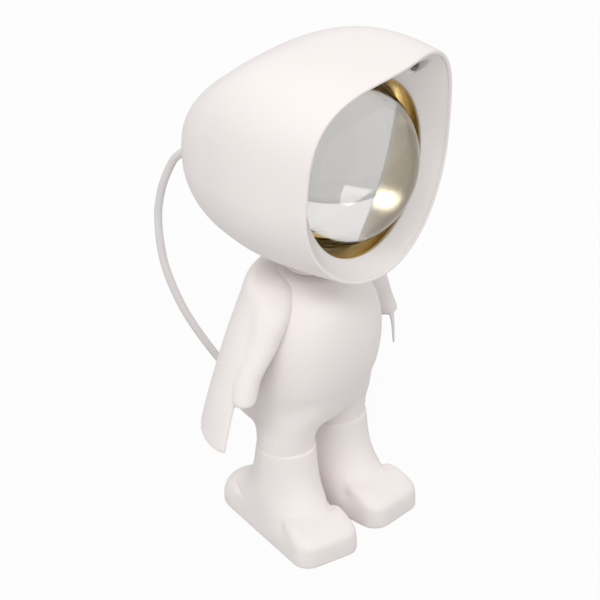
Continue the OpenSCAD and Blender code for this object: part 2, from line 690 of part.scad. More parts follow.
arm_rows = [
    // height, distance from the middle as a share of the cape's half width, shift back, radius
    [cape_z(0.292), 0.816, -1.2, 1.5],
    [cape_z(0.319), 0.803, -1.2, 4.2],
    [cape_z(0.373), 0.773, -1.2, 5.4],
    [cape_z(0.475), 0.718, -1.3, 6],
    [cape_z(0.627), 0.627, -1.5, 7.1],
    [cape_z(0.78), 0.541, -1, 8],
    [cape_z(0.881), 0.467, 0, 8.2],
    [cape_z(0.949), 0.393, 1, 6.5],
    [cape_z(0.983), 0.326, 1.2, 4]];
arm_sides = 24;
arm_steps = 14;
function arm_ring(side, r) = [for (k = [0:arm_sides - 1])
    let (a = 360 * k / arm_sides)
    [side * r[1] * cape_w / 2 + r[3] * cos(a), axis_y + r[2] + r[3] * sin(a), r[0]]];
module arm(side) closed_skin([for (i = [0:arm_steps]) arm_ring(side, row_at(arm_rows, i / arm_steps))]);
cape_boss_r = 4;
cape_boss_to = axis_y + 0.72 * cape_d;
cape_boss_len = 10;
cape_skin = 0.5; // of the boss behind its bore
cape_screw_len = cape_boss_to - cape_skin - free - cape_seat - lap;
module torso_clear() closed_skin([for (i = [0:torso_steps]) torso_ring(i / torso_steps, -2 * fit)]);
module cape() color(white) difference() {
    union() {
        closed_skin([for (i = [0:cape_steps]) cape_ring(i / cape_steps)], thin = true);
        for (side = [-1, 1]) arm(side);
        at_places(cape_screw_at, cape_boss_to) cylinder(r = cape_boss_r, h = cape_boss_len);
    }
    torso_clear();
    at_places(cape_screw_at, cape_boss_to - cape_skin) cylinder(r = screw_bore, h = cape_boss_len);
}
module cape_screws() color(steel) at_places(cape_screw_at, cape_seat) screw(screw_d, cape_screw_len);

// Boots. The heels reach back as far as the turned boots let them.
boot_floor = 0.8;
sole_h = 8;
sole_t = 2.4;
sole_edge = 1.6;
toe_corner = 6.5;
heel_reach = 20;
heel_room = leg_space - 2 * heel_r - 2 * free;
heel_back = min(heel_reach, heel_room / (sin(right_turn) + sin(left_turn)));
toe_steps = [
    // corner radius, distance from the toe's side, distance from the toe's front, height below the top
    [toe_corner, toe_corner, toe_corner, 4.8],
    [6, 7, 9.5, 2.4],
    [3.5, 4.5, 14.5, 0]];
boot_sides = 32;
boot_steps = 10;
boot_rows = [
    // height, half width, half length, shift back
    [sole_h, 13, 27.2, -0.8],
    [14, 12.9, 21.4, 0],
    [21, 12.4, 16, -0.1],
    [29, 11.9, 12.9, -0.3],
    [boot_h, leg_r + 0.9, leg_r + 0.9, -0.5]];
function boot_ring(r) = [for (k = [0:boot_sides - 1])
    let (a = 360 * k / boot_sides)
    [r[1] * cos(a), r[2] * sin(a) + r[3], r[0]]];
module sole_outline(inset, h) hull() {
    translate([0, heel_back, 0]) cylinder(r = heel_r - inset, h = h, $fn = hull_fn);
    for (side = [-1, 1]) translate([side * (toe_w / 2 - toe_corner), toe_corner - toe_len, 0])
        cylinder(r = toe_corner - inset, h = h, $fn = hull_fn);
}
module boot_solid() {
    translate([0, 0, boot_floor]) sole_outline(0, sole_h);
    closed_skin([for (i = [0:boot_steps]) boot_ring(row_at(boot_rows, i / boot_steps))]);
    hull() for (side = [-1, 1], s = toe_steps)
        translate([side * (toe_w / 2 - s[1]), s[2] - toe_len, boot_floor])
            cylinder(r = s[0], h = toe_h - s[3], $fn = hull_fn);
}

// A pocket in each boot for its weight, closed by the sole
pocket_r = 8.5;
pocket_y = [-11, 5];
pocket_top = 13;
weight_room = 3; // above the weight, for the head of the leg screw
module pocket(inset, from, to) translate([0, 0, from]) hull() for (y = pocket_y)
    translate([0, y, 0]) cylinder(r = pocket_r - inset, h = to - from, $fn = hull_fn);
leg_screw_d = 4;
leg_bore = leg_screw_d / 2 + run;
leg_screw_reach = 8;
leg_screw_len = boot_h - leg_in - pocket_top + leg_screw_reach;
sole_screw_y = [toe_corner - toe_len, heel_back + 5.5];
sole_screw_len = 5;
sole_seat = boot_floor + 1.7;
pad_r = 4;
pad_at = [[-7, 3 - toe_len / 2], [7, 3 - toe_len / 2], [0, heel_back - 2]];
module boot() difference() {
    boot_solid();
    translate([0, 0, boot_floor - cut]) sole_outline(sole_edge - fit, sole_t + cut + fit);
    pocket(0, boot_floor, pocket_top);
    translate([0, 0, boot_h - leg_in - fit]) cylinder(r = plug_r + fit, h = leg_in + cut);
    translate([0, 0, pocket_top - cut]) cylinder(r = leg_bore, h = boot_h);
    for (y = sole_screw_y) translate([0, y, 0])
        cylinder(r = screw_bore, h = sole_seat + sole_screw_len + lap);
}
module sole() difference() {
    translate([0, 0, boot_floor]) sole_outline(sole_edge, sole_t);
    for (p = pad_at) translate([p[0], p[1], -cut]) cylinder(r = pad_r + fit, h = cut + pad_t);
    for (y = sole_screw_y) translate([0, y, -cut]) {
        cylinder(r = screw_bore, h = boot_floor + sole_t + 2 * cut);
        cylinder(r = head_share * screw_d + fit, h = cut + sole_seat);
    }
}
module at_boot(side) at_leg(side, 0) rotate(side < 0 ? -right_turn : left_turn) children();
module both_boots() for (side = [-1, 1]) at_boot(side) children();
module right_boot() color(white) at_boot(-1) boot();
module left_boot() color(white) at_boot(1) boot();
module right_sole() color(pale) at_boot(-1) sole();
module left_sole() color(pale) at_boot(1) sole();
module boot_weights() color(steel) both_boots()
    pocket(2 * fit, boot_floor + sole_t + fit, pocket_top - weight_room);
module leg_screws() color(steel) both_boots() translate([0, 0, pocket_top]) rotate([180, 0, 0])
    screw(leg_screw_d, leg_screw_len);
module sole_screws() color(steel) both_boots() for (y = sole_screw_y) translate([0, y, sole_seat])
    rotate([180, 0, 0]) screw(screw_d, sole_screw_len);
module foot_pads() color(dark) both_boots() for (p = pad_at) translate([p[0], p[1], 0])
    cylinder(r = pad_r, h = pad_t - fit);

// Power cord: it bows out of the gland, falls behind the figure and lies on the floor as a coil
cord_r = cord_d / 2;
cord_sides = 8;
coil_sides = 6;
coil_lift = 1.2; // room for the tie below the coil
coil_low = coil_lift + cord_r;
coil_pitch = cord_d + coil_gap;
coil_out = coil_r + coil_turns * coil_pitch / 2;
coil_in = coil_r - coil_turns * coil_pitch / 2;
coil_side = 68; // from the middle of the lamp to the middle of the coil
coil_front = 26.2;
coil_at = [coil_side, coil_front + coil_out];
coil_first = -90;
coil_past = 39; // degrees by which the last turn runs past the first, so that the tail leaves outwards
coil_sweep = 360 * coil_turns * coil_layers + coil_past;
coil_step = 15;
// The upper length goes from the gland's tip by these steps. The lower one goes on from where that ends
// to the start of the coil. The shares tell, for each axis, how much of the way is left.
upper_steps = [[0, 7.2, -7.4], [0, 12.2, -18.4], [0, 14.7, -28.4], [0, 15.2, -35.4], [0, 14.7, -43.4]];
lower_shares = [[1, 1, 1], [0.992, 0.962, 0.89], [0.969, 0.885, 0.77], [0.923, 0.784, 0.639],
    [0.846, 0.656, 0.496], [0.753, 0.542, 0.365], [0.645, 0.427, 0.233], [0.522, 0.3, 0.118],
    [0.414, 0.198, 0.047], [0.29, 0.104, 0.01], [0.151, 0.036, 0]];
upper_route = [for (p = upper_steps) gland_tip + p];
meeting = upper_route[len(upper_route) - 1];
meeting_way = [0, -0.06, -1];
gland_straight = 1.2; // diameters that the cord runs straight on out of the gland

// Rings of a tube along a line of points, each square to the line
upright = 0.9;
function ring_about(p, way, sides) =
    let (across = abs(way[2]) < upright ? [0, 0, 1] : [1, 0, 0],
        a = unit(cross(way, across)),
        b = cross(way, a))
    [for (i = [0:sides - 1]) p + cord_r * (cos(360 * i / sides) * a + sin(360 * i / sides) * b)];
module cord(line, sides, first, last) color(pale) closed_skin([for (i = [0:len(line) - 1])
    let (way = i == 0 ? first : i == len(line) - 1 ? last : line[i + 1] - line[i - 1])
    ring_about(line[i], unit(way), sides)]);

// The coil winds inwards on one layer and outwards on the next, and climbs where the winding turns back
function coil_radius(a) =
    let (s = a / 360 / coil_turns,
        k = min(floor(s), coil_layers - 1),
        w = (s - k) * coil_turns * coil_pitch)
    k % 2 == 0 ? coil_out - w : coil_in + w;
function coil_rise(a, k = 1) = k > coil_layers - 1 ? 0
    : ease((a - 360 * coil_turns * k) / 180 + 0.5) + coil_rise(a, k + 1);
function coil_point(a) =
    let (r = coil_radius(a), b = coil_first + a)
    [coil_at[0] + r * cos(b), coil_at[1] + r * sin(b), coil_low + coil_pitch * coil_rise(a)];
coil_way = [1, 0, 0];
tail_way = [cos(coil_past), sin(coil_past), 0];
coil_start = coil_point(0) - cord_d * coil_way;
lower_route = [for (s = lower_shares)
    [for (k = [0:2]) coil_start[k] + s[k] * (meeting[k] - coil_start[k])]];
coil_stop = coil_point(coil_sweep) + cord_d * tail_way;
coil_line = concat(
    [coil_start],
    [for (a = [0:coil_step:coil_sweep]) coil_point(a)],
    [coil_point(coil_sweep), coil_stop]);

// The least gap between two places of the coil that are half a turn or more apart along it
half_turn = 180 / coil_step;
coil_last = len(coil_line) - 1;
coil_spans = [for (i = [0:coil_last], j = [i + half_turn:1:coil_last]) norm(coil_line[i] - coil_line[j])];
echo(coil_clear = min(coil_spans) - cord_d);

module cord_upper() cord(concat([gland_tip, gland_tip + gland_straight * cord_d * gland_way], upper_route),
    cord_sides, gland_way, meeting_way);
module cord_lower() cord(concat(lower_route, [coil_start]), cord_sides, meeting_way, coil_way);
module cord_coil() cord(coil_line, coil_sides, coil_way, tail_way);

// The tail comes down from the coil to the plug on the floor
plug_h = 8;
plug_z = plug_h / 2 + 0.2;
tail_len = 26;
tail_steps = 5;
tail_drop = coil_stop[2] - plug_z;
function tail_point(u) = coil_stop + tail_len * u * tail_way - [0, 0, tail_drop * ease(u)];
module cord_tail() cord([for (i = [0:tail_steps]) tail_point(i / tail_steps)],
    cord_sides, tail_way, tail_way);

// Tie round the coil
tie_w = 4;
tie_t = 0.8;
tie_gap = 0.3;
tie_from = [-tie_w / 2, coil_in + coil_pitch / 2 - cord_r - tie_gap, coil_lift - tie_gap];
tie_room = [tie_w, (coil_turns - 1) * coil_pitch + cord_d + 2 * tie_gap,
    (coil_layers - 1) * coil_pitch + cord_d + 2 * tie_gap];
tie_wall = [0, tie_t, tie_t];
module coil_tie() color(dark) translate([coil_at[0], coil_at[1], 0]) difference() {
    translate(tie_from - tie_wall) cube(tie_room + 2 * tie_wall);
    translate(tie_from - [cut, 0, 0]) cube(tie_room + [2 * cut, 0, 0]);
}

// USB plug
plug_at = tail_point(1);
relief_len = 8;
relief_wall = [0.6, 1.6]; // at the cord and at the body
plug_len = 18;
plug_w = 15;
shell_len = 12;
shell_w = 12;
shell_h = 4.5;
shell_t = 0.4;
contact_t = 1.8;
contact_up = 0.6;
module at_plug() translate(plug_at) rotate(coil_past) children();
module plug_body() color(white) at_plug() {
    rotate([0, 90, 0])
        cylinder(r1 = cord_r + relief_wall[0], r2 = cord_r + relief_wall[1], h = relief_len + cut);
    translate([relief_len, -plug_w / 2, -plug_h / 2]) cube([plug_len, plug_w, plug_h]);
    translate([relief_len + plug_len - cut, cut - shell_w / 2, contact_up - shell_h / 2])
        cube([shell_len, shell_w - 2 * cut, contact_t]);
}
module plug_shell() color(steel) at_plug() translate([relief_len + plug_len, 0, 0]) difference() {
    translate([0, -shell_w / 2, -shell_h / 2]) cube([shell_len, shell_w, shell_h]);
    translate([-cut, shell_t - shell_w / 2, shell_t - shell_h / 2])
        cube([shell_len + 2 * cut, shell_w - 2 * shell_t, shell_h - 2 * shell_t]);
}

hood_shell();
front_bezel();
bezel_screws();
lens();
lens_ring();
lens_gasket();
reflector();
optic_barrel();
barrel_screws();
led_board();
led_chip();
heat_sink();
sink_screws();
lamp_leads();
switch_body();
switch_nut();
power_button();
cord_gland();
tilt_pin();
tilt_nut();
tilt_washers();
neck_swivel();
neck_bush();
friction_ring();
swivel_washer();
swivel_screw();
torso_front();
torso_back();
torso_screws();
cape();
cape_screws();
right_boot();
left_boot();
right_sole();
left_sole();
boot_weights();
leg_screws();
sole_screws();
foot_pads();
cord_upper();
cord_lower();
cord_coil();
cord_tail();
coil_tie();
plug_body();
plug_shell();
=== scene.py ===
import bmesh
import bpy
import math
from mathutils import Matrix, Vector, kdtree


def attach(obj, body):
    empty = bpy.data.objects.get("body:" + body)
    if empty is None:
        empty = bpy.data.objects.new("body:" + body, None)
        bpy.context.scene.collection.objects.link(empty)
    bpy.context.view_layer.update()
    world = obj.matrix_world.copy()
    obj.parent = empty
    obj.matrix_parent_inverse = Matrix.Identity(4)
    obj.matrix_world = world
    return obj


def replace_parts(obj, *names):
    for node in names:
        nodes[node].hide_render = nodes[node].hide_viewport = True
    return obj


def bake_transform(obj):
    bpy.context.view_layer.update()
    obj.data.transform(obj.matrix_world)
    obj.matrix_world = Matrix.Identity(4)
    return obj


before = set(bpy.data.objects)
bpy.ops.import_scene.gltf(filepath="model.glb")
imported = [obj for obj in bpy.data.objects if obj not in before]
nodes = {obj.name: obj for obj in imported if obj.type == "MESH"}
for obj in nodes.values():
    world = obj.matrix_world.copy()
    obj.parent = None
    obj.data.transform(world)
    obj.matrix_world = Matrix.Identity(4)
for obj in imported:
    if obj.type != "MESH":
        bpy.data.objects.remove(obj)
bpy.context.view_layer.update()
scene = bpy.context.scene
scene.view_settings.view_transform = "Standard"
mm = 0.001  # pieces are drawn in millimetres and scaled once
print("frame loaded:", len(nodes), "nodes")


# camera, at the photograph's angle
shot = {
    "azimuth": -51, "elevation": 30, "distance": 1.2, "aim": (-0.00165, -0.00602, 0.09212),
    "lens": 191.5, "sensor": 36, "clip": (0.05, 20),
}


def makeCamera():
    a, e = math.radians(shot["azimuth"]), math.radians(shot["elevation"])
    back = Vector((math.sin(a) * math.cos(e), -math.cos(a) * math.cos(e), math.sin(e)))
    data = bpy.data.cameras.new("photoCamera")
    data.lens, data.sensor_width = shot["lens"], shot["sensor"]
    data.clip_start, data.clip_end = shot["clip"]
    camera = bpy.data.objects.new("photoCamera", data)
    camera.location = Vector(shot["aim"]) + back * shot["distance"]
    camera.rotation_mode = "QUATERNION"
    camera.rotation_quaternion = (-back).to_track_quat("-Z", "Y")
    scene.collection.objects.link(camera)
    scene.camera = camera


makeCamera()
print("camera set")


# finishes: a wire is an output socket that can be added and scaled
class Wire:
    def __init__(self, finish, socket):
        self.finish, self.socket = finish, socket

    def reckon(self, operation, a, b):
        return self.finish.node("ShaderNodeMath", {"operation": operation}, {0: a, 1: b})

    def __add__(self, other):
        return self.reckon("ADD", self, other)

    def __radd__(self, other):
        return self.reckon("ADD", other, self)

    def __mul__(self, other):
        return self.reckon("MULTIPLY", self, other)

    def __rmul__(self, other):
        return self.reckon("MULTIPLY", other, self)


class Finish:
    def __init__(self, owner):
        owner.use_nodes = True
        self.owner, self.tree = owner, owner.node_tree
        self.tree.nodes.clear()

    def node(self, kind, settings=None, sockets=None, out=0):
        made = self.tree.nodes.new(kind)
        for key, value in (settings or {}).items():
            setattr(made, key, value)
        for key, value in (sockets or {}).items():
            if isinstance(value, Wire):
                self.tree.links.new(value.socket, made.inputs[key])
            else:
                made.inputs[key].default_value = value
        return Wire(self, made.outputs[out])

    def noise(self, scale, detail=3, rough=0.5, stretch=(1, 1, 1)):
        at = self.node("ShaderNodeTexCoord", out="Object")
        at = self.node("ShaderNodeMapping", {}, {"Vector": at, "Scale": stretch})
        return self.node("ShaderNodeTexNoise", {}, {
            "Vector": at, "Scale": scale, "Detail": detail, "Roughness": rough})

    def tint(self, share, dark, light):  # the sockets of a colour mix have numbers only
        return self.node("ShaderNodeMix", {"data_type": "RGBA"}, {0: share, 6: dark, 7: light}, 2)

    def bump(self, height, strength, distance):
        return self.node("ShaderNodeBump", {}, {"Strength": strength, "Distance": distance, "Height": height})

    def close(self, sockets):
        return self.end(self.node("ShaderNodeBsdfPrincipled", {}, sockets))

    def end(self, shader, kind="ShaderNodeOutputMaterial"):
        self.tree.links.new(shader.socket, self.tree.nodes.new(kind).inputs["Surface"])
        return self.owner


def paint(name):
    return Finish(bpy.data.materials.new(name))


def grey(v):
    return (v, v, v, 1)


def mouldedPlastic(name, dark, light, rough):
    f = paint(name)
    cloud, peel = f.noise(scale=38, detail=2), f.noise(scale=1500, detail=2, rough=0.6)
    return f.close({
        "Base Color": f.tint(cloud, dark, light), "Roughness": rough + 0.07 * cloud + 0.03 * peel,
        "Normal": f.bump(peel, strength=0.035, distance=0.0002), "Coat Weight": 0.12, "Coat Roughness": 0.2})


lensAxis = {"at": (0, -0.0345, 0.1578), "tilt": math.radians(-94.4)}  # what spun pieces were turned about


def spunMetal(name, dark, light, rough, lines, depth):
    f = paint(name)
    at = f.node("ShaderNodeTexCoord", out="Object")
    at = f.node("ShaderNodeMapping", {"vector_type": "TEXTURE"}, {
        "Vector": at, "Location": lensAxis["at"], "Rotation": (lensAxis["tilt"], 0, 0)})
    flat = f.node("ShaderNodeVectorMath", {"operation": "MULTIPLY"}, {0: at, 1: (1, 1, 0)})
    reach = f.node("ShaderNodeVectorMath", {"operation": "LENGTH"}, {0: flat}, "Value")
    turn = f.node("ShaderNodeMath", {"operation": "SINE"}, {0: reach * (2 * math.pi * lines)})
    cloud = f.noise(scale=90)
    return f.close({
        "Base Color": f.tint(cloud, dark, light), "Metallic": 1.0, "Roughness": rough + 0.05 * cloud,
        "Normal": f.bump(turn, strength=depth, distance=0.0001)})


def plainMetal(name, dark, light, rough):
    f = paint(name)
    cloud, scuff = f.noise(scale=160), f.noise(scale=900, detail=2, rough=0.6, stretch=(1, 6, 1))
    return f.close({
        "Base Color": f.tint(cloud, dark, light), "Metallic": 1.0, "Roughness": rough + 0.12 * scuff,
        "Normal": f.bump(scuff, strength=0.05, distance=0.0001)})


# glass with a grey tint: painted shade that darkens the lens the way darker surroundings seen in it would,
# with noise varying that tint at random
def clearGlass(name, dark, light):
    f = paint(name)
    paintedShadeTone = f.noise(scale=40, detail=2)
    return f.close({
        "Base Color": f.tint(paintedShadeTone, dark, light), "Roughness": 0.0, "IOR": 1.49, "Transmission Weight": 1.0})


def softRubber(name, dark, light):
    f = paint(name)
    cloud, pores = f.noise(scale=70, detail=2), f.noise(scale=2200, detail=2, rough=0.6)
    return f.close({
        "Base Color": f.tint(cloud, dark, light), "Roughness": 0.62 + 0.15 * pores,
        "Normal": f.bump(pores, strength=0.08, distance=0.0002)})


white = mouldedPlastic("white_moulded", (0.862, 0.806, 0.785, 1), (0.89, 0.835, 0.815, 1), 0.34)
bezelWhite = mouldedPlastic("white_bezel", (0.862, 0.812, 0.785, 1), (0.89, 0.842, 0.815, 1), 0.38)
black = mouldedPlastic("black_moulded", grey(0.02), grey(0.035), 0.42)
cordSkin = softRubber("cord_skin", (0.72, 0.70, 0.69, 1), (0.78, 0.76, 0.75, 1))
solePale = softRubber("sole_pale", (0.66, 0.63, 0.61, 1), (0.72, 0.69, 0.67, 1))
padGrey = softRubber("pad_grey", grey(0.05), grey(0.09))
amberSilicone = softRubber("amber_silicone", (0.62, 0.47, 0.20, 1), (0.72, 0.57, 0.28, 1))
strapGrey = softRubber("strap_grey", grey(0.03), grey(0.06))
gold = spunMetal("gold_spun", (0.64, 0.44, 0.13, 1), (0.80, 0.58, 0.22, 1), 0.22, 2600, 0.05)
mirror = spunMetal("reflector_satin", (0.60, 0.53, 0.38, 1), (0.70, 0.63, 0.47, 1), 0.26, 900, 0.01)
steel = plainMetal("steel_bright", grey(0.52), grey(0.66), 0.26)
# a darker copy of the steel, for the bezel screws: painted shade, standing in for the shade inside their
# recesses
recessShadeSteel = plainMetal("steel_painted_recess_shade", grey(0.16), grey(0.26), 0.3)
aluminium = plainMetal("aluminium_cast", grey(0.60), grey(0.70), 0.38)
# the lens glass's grey tint is painted shade
glass = clearGlass("lens_glass", (0.76, 0.75, 0.74, 1), (0.82, 0.81, 0.80, 1))
board = mouldedPlastic("board_white", grey(0.70), grey(0.78), 0.45)
phosphor = mouldedPlastic("phosphor", (0.80, 0.58, 0.10, 1), (0.88, 0.68, 0.16, 1), 0.5)
wireSkin = softRubber("wire_skin", (0.42, 0.02, 0.02, 1), (0.55, 0.04, 0.03, 1))
print("finishes made")


# making and finishing pieces
weld = {"piece": 1e-7, "profile": 1e-5}  # in metres, and in the millimetres of a profile
smoothing = 0.5
groove = {"reach": 3, "runOut": 5}  # in widths of the groove, and one part in so many of its length


def makePiece(name, bm, body, finish, place=Matrix(), sharp=38):
    bm.transform(Matrix.Scale(mm, 4) @ place)
    bmesh.ops.remove_doubles(bm, verts=bm.verts, dist=weld["piece"])
    bmesh.ops.recalc_face_normals(bm, faces=bm.faces)
    mesh = bpy.data.meshes.new(name)
    bm.to_mesh(mesh)
    bm.free()
    mesh.shade_smooth()
    mesh.set_sharp_from_angle(angle=math.radians(sharp))
    mesh.materials.append(finish)
    piece = bpy.data.objects.new(name, mesh)
    scene.collection.objects.link(piece)
    if body:
        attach(piece, body)
    return piece


def settle(piece):
    bpy.context.view_layer.update()
    made = bpy.data.meshes.new_from_object(piece.evaluated_get(bpy.context.evaluated_depsgraph_get()))
    old = piece.data
    piece.modifiers.clear()
    piece.data = made
    bpy.data.meshes.remove(old)
    made.name = piece.name


def cutAway(piece, cutter):
    modifier = piece.modifiers.new("cut", "BOOLEAN")
    modifier.operation, modifier.solver, modifier.object = "DIFFERENCE", "EXACT", cutter
    settle(piece)
    bpy.data.objects.remove(cutter)


def fuse(piece, voxel, rounds):
    remesh = piece.modifiers.new("fuse", "REMESH")
    remesh.mode, remesh.voxel_size, remesh.use_smooth_shade = "VOXEL", voxel * mm, True
    smooth = piece.modifiers.new("ease", "SMOOTH")
    smooth.factor, smooth.iterations = smoothing, rounds
    settle(piece)
    piece.data.shade_smooth()


def carve(piece, path, width, depth):
    tree = kdtree.KDTree(len(path))
    for k, p in enumerate(path):
        tree.insert(Vector(p) * mm, k)
    tree.balance()
    bm = bmesh.new()
    bm.from_mesh(piece.data)
    bm.normal_update()
    moves = []
    for v in bm.verts:
        k, d = tree.find(v.co)[1:]
        d /= mm * width
        ends = groove["runOut"]
        fade = min(1, ends * k / len(path), ends * (1 - k / len(path)))
        if d < groove["reach"]:
            moves.append((v, v.normal * (-depth * fade * mm * math.exp(-d * d))))
    for v, step in moves:
        v.co += step
    bm.to_mesh(piece.data)
    bm.free()


def easeBand(piece, low, high, rounds):
    bm = bmesh.new()
    bm.from_mesh(piece.data)
    band = [v for v in bm.verts if low < v.co.z / mm < high]
    for k in range(rounds):
        bmesh.ops.smooth_vert(bm, verts=band, factor=smoothing, use_axis_x=True, use_axis_y=True,
                              use_axis_z=True)
    bm.to_mesh(piece.data)
    bm.free()


def shares(count):
    return [k / count for k in range(count + 1)]


def ease(v):
    c = max(0, min(1, v))
    return c * c * (3 - 2 * c)


def rowAt(rows, u):  # a smooth curve through the rows
    n = len(rows) - 1
    k = min(int(u * n), n - 1)
    f = u * n - k
    near = [rows[max(k - 1, 0)], rows[k], rows[k + 1], rows[min(k + 2, n)]]
    return [0.5 * (2 * b + (c - a) * f + (2 * a - 5 * b + 4 * c - d) * f * f
                   + (3 * b - a - 3 * c + d) * f ** 3) for a, b, c, d in zip(*near)]


def power(v, n):  # squares a round outline, the more the larger n
    return math.copysign(abs(v) ** (2 / n), v)


def loft(bm, stations, place, segments, caps=(True, True)):
    turn = bm.verts.layers.float.get("turn") or bm.verts.layers.float.new("turn")
    ring = bmesh.ops.create_circle(bm, segments=segments, radius=1)["verts"]
    for v in ring:
        v[turn] = math.atan2(v.co.y, v.co.x)
    edges = list({e for v in ring for e in v.link_edges})
    first = edges
    for k, station in enumerate(stations):
        if k:
            grown = bmesh.ops.extrude_edge_only(bm, edges=edges)["geom"]
            ring = [g for g in grown if isinstance(g, bmesh.types.BMVert)]
            edges = [g for g in grown if isinstance(g, bmesh.types.BMEdge)]
        for v in ring:
            v.co = place(v[turn], station)
    for edgeLoop, cap in zip((first, edges), caps):
        if cap:
            bmesh.ops.contextual_create(bm, geom=edgeLoop)
    return first, edges


def bevel(bm, edges, offset, segments):
    bmesh.ops.bevel(bm, geom=edges, offset=offset, offset_type="OFFSET", segments=segments, profile=0.5,
                    affect="EDGES", clamp_overlap=True, material=-1)


def soften(bm, offset, segments=3, limit=40):
    sharp = [e for e in bm.edges if len(e.link_faces) == 2 and e.calc_face_angle(0) > math.radians(limit)]
    bevel(bm, sharp, offset, segments)


def turned(profile, steps=96, closed=True):
    bm = bmesh.new()
    verts = [bm.verts.new((r, 0, z)) for r, z in profile]
    edges = [bm.edges.new(pair) for pair in zip(verts, verts[1:] + verts[:1] * closed)]
    bmesh.ops.spin(bm, geom=verts + edges, cent=(0, 0, 0), axis=(0, 0, 1), angle=2 * math.pi, steps=steps,
                   use_merge=True)
    bmesh.ops.remove_doubles(bm, verts=bm.verts, dist=weld["profile"])
    bmesh.ops.recalc_face_normals(bm, faces=bm.faces)
    return bm


def addBlock(bm, size, at, radius=0.0, segments=3):
    place = Matrix.Translation(at) @ Matrix.Diagonal((*size, 1))
    made = bmesh.ops.create_cube(bm, size=1, matrix=place)["verts"]
    if radius:
        bevel(bm, list({e for v in made for e in v.link_edges}), radius, segments)


def addRod(bm, radius, length, place, steps=48):
    bmesh.ops.create_cone(bm, cap_ends=True, segments=steps, radius1=radius, radius2=radius, depth=length,
                          matrix=place)


def smoothLine(points, steps):
    return [Vector(rowAt(points, u)) for u in shares(steps * (len(points) - 1))]


# frames of the head, as in the CAD model
axisY, pivotZ, lensZ, ringAhead, pitch = -10, 123.8, 31, 27.1, math.radians(4.4)
pivotPlace = Matrix.Translation((0, axisY, pivotZ)) @ Matrix.Rotation(-pitch, 4, "X")
ringPlace = pivotPlace @ Matrix.Translation((0, -ringAhead, lensZ))
lensPlace = ringPlace @ Matrix.Rotation(math.radians(-90), 4, "X")
sideways = Matrix.Rotation(math.radians(90), 4, "Y")


# power cord: out of the gland, down behind the figure and into a coil, in two lengths that meet in the air
cordFacts = {
    "diameter": 3.2, "roundness": 4,
    "glandTip": (0, 50.747, 136.463), "glandWay": (0, 0.772734, -0.634731), "straight": 1.2,
    "upper": [(0, 57.95, 129.06), (0, 62.95, 118.06), (0, 65.45, 108.06), (0, 65.95, 101.06),
              (0, 65.45, 93.06)],
    "lower": [(0, 65.45, 93.06), (0.5, 63.95, 83.1), (2, 60.9, 72.3), (5, 57, 60.5), (10, 51.95, 47.6),
              (16, 47.5, 35.7), (23, 43, 23.8), (31, 38, 13.5), (38, 34, 7), (46, 30.3, 3.7),
              (55, 27.6, 2.8)],
    "coilAt": (68, 48), "coilRadius": 18, "pitch": 3.8, "turns": 2, "layers": 4, "climb": 180,
    "low": 2.8, "first": -90, "past": 39, "tail": 26, "plugHeight": 4.2,
    "upperSteps": 8, "lowerSteps": 6, "coilSteps": 300, "tailSteps": 20,
}


def coilPoint(a):
    f = cordFacts
    sweep = 360 * f["turns"]
    layer = min(int(a / sweep), f["layers"] - 1)
    across = (a / sweep - layer) * f["turns"] * f["pitch"]
    half = f["turns"] * f["pitch"] / 2
    radius = f["coilRadius"] + (half - across if layer % 2 == 0 else across - half)
    rise = sum(ease((a - sweep * k) / f["climb"] + 0.5) for k in range(1, f["layers"]))
    b = math.radians(f["first"] + a)
    x, y = f["coilAt"]
    return Vector((x + radius * math.cos(b), y + radius * math.sin(b), f["low"] + f["pitch"] * rise))


def cordLines():
    f = cordFacts
    tip, way = Vector(f["glandTip"]), Vector(f["glandWay"])
    straight = tip + way * f["straight"] * f["diameter"]
    upper = smoothLine([tip, straight, *map(Vector, f["upper"])], f["upperSteps"])
    sweep = 360 * f["turns"] * f["layers"] + f["past"]
    out = Vector((math.cos(math.radians(f["past"])), math.sin(math.radians(f["past"])), 0))
    start = coilPoint(0) - Vector((f["diameter"], 0, 0))
    stop = coilPoint(sweep) + out * f["diameter"]
    fall = smoothLine([*map(Vector, f["lower"]), start], f["lowerSteps"])
    coil = [coilPoint(sweep * k / f["coilSteps"]) for k in range(f["coilSteps"] + 1)]
    drop, n = stop.z - f["plugHeight"], f["tailSteps"]
    tail = [stop + out * f["tail"] * k / n - Vector((0, 0, drop * ease(k / n))) for k in range(n + 1)]
    return upper, fall + coil + tail


def lineLength(line):
    return sum((b - a).length for a, b in zip(line, line[1:])) * mm


def makeCord(name, line):
    f = cordFacts
    curve = bpy.data.curves.new(name, "CURVE")
    curve.dimensions, curve.use_fill_caps = "3D", True
    curve.bevel_depth, curve.bevel_resolution = f["diameter"] / 2 * mm, f["roundness"]
    spline = curve.splines.new("POLY")
    spline.points.add(len(line) - 1)
    for point, p in zip(spline.points, line):
        point.co = (*(p * mm), 1)
    shaped = bpy.data.objects.new(name + "Line", curve)
    scene.collection.objects.link(shaped)
    bpy.context.view_layer.update()
    mesh = bpy.data.meshes.new_from_object(shaped.evaluated_get(bpy.context.evaluated_depsgraph_get()))
    bpy.data.objects.remove(shaped)
    mesh.name = name
    mesh.materials.clear()
    mesh.materials.append(cordSkin)
    mesh.shade_smooth()
    piece = bpy.data.objects.new(name, mesh)
    scene.collection.objects.link(piece)
    return piece


upperLine, lowerLine = cordLines()
upperLength, lowerLength = lineLength(upperLine), lineLength(lowerLine)
cordUpper = makeCord("cordUpper", upperLine)
cordLower = makeCord("cordLower", lowerLine)
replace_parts(cordUpper, "cord_upper")
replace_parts(cordLower, "cord_lower", "cord_coil", "cord_tail")
upperLine[4] * mm
upperLine[-1] * mm
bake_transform(cordUpper)
lowerLine[0] * mm
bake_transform(cordLower)
print("cord: %.3f m above and %.3f m below the meeting" % (upperLength, lowerLength))


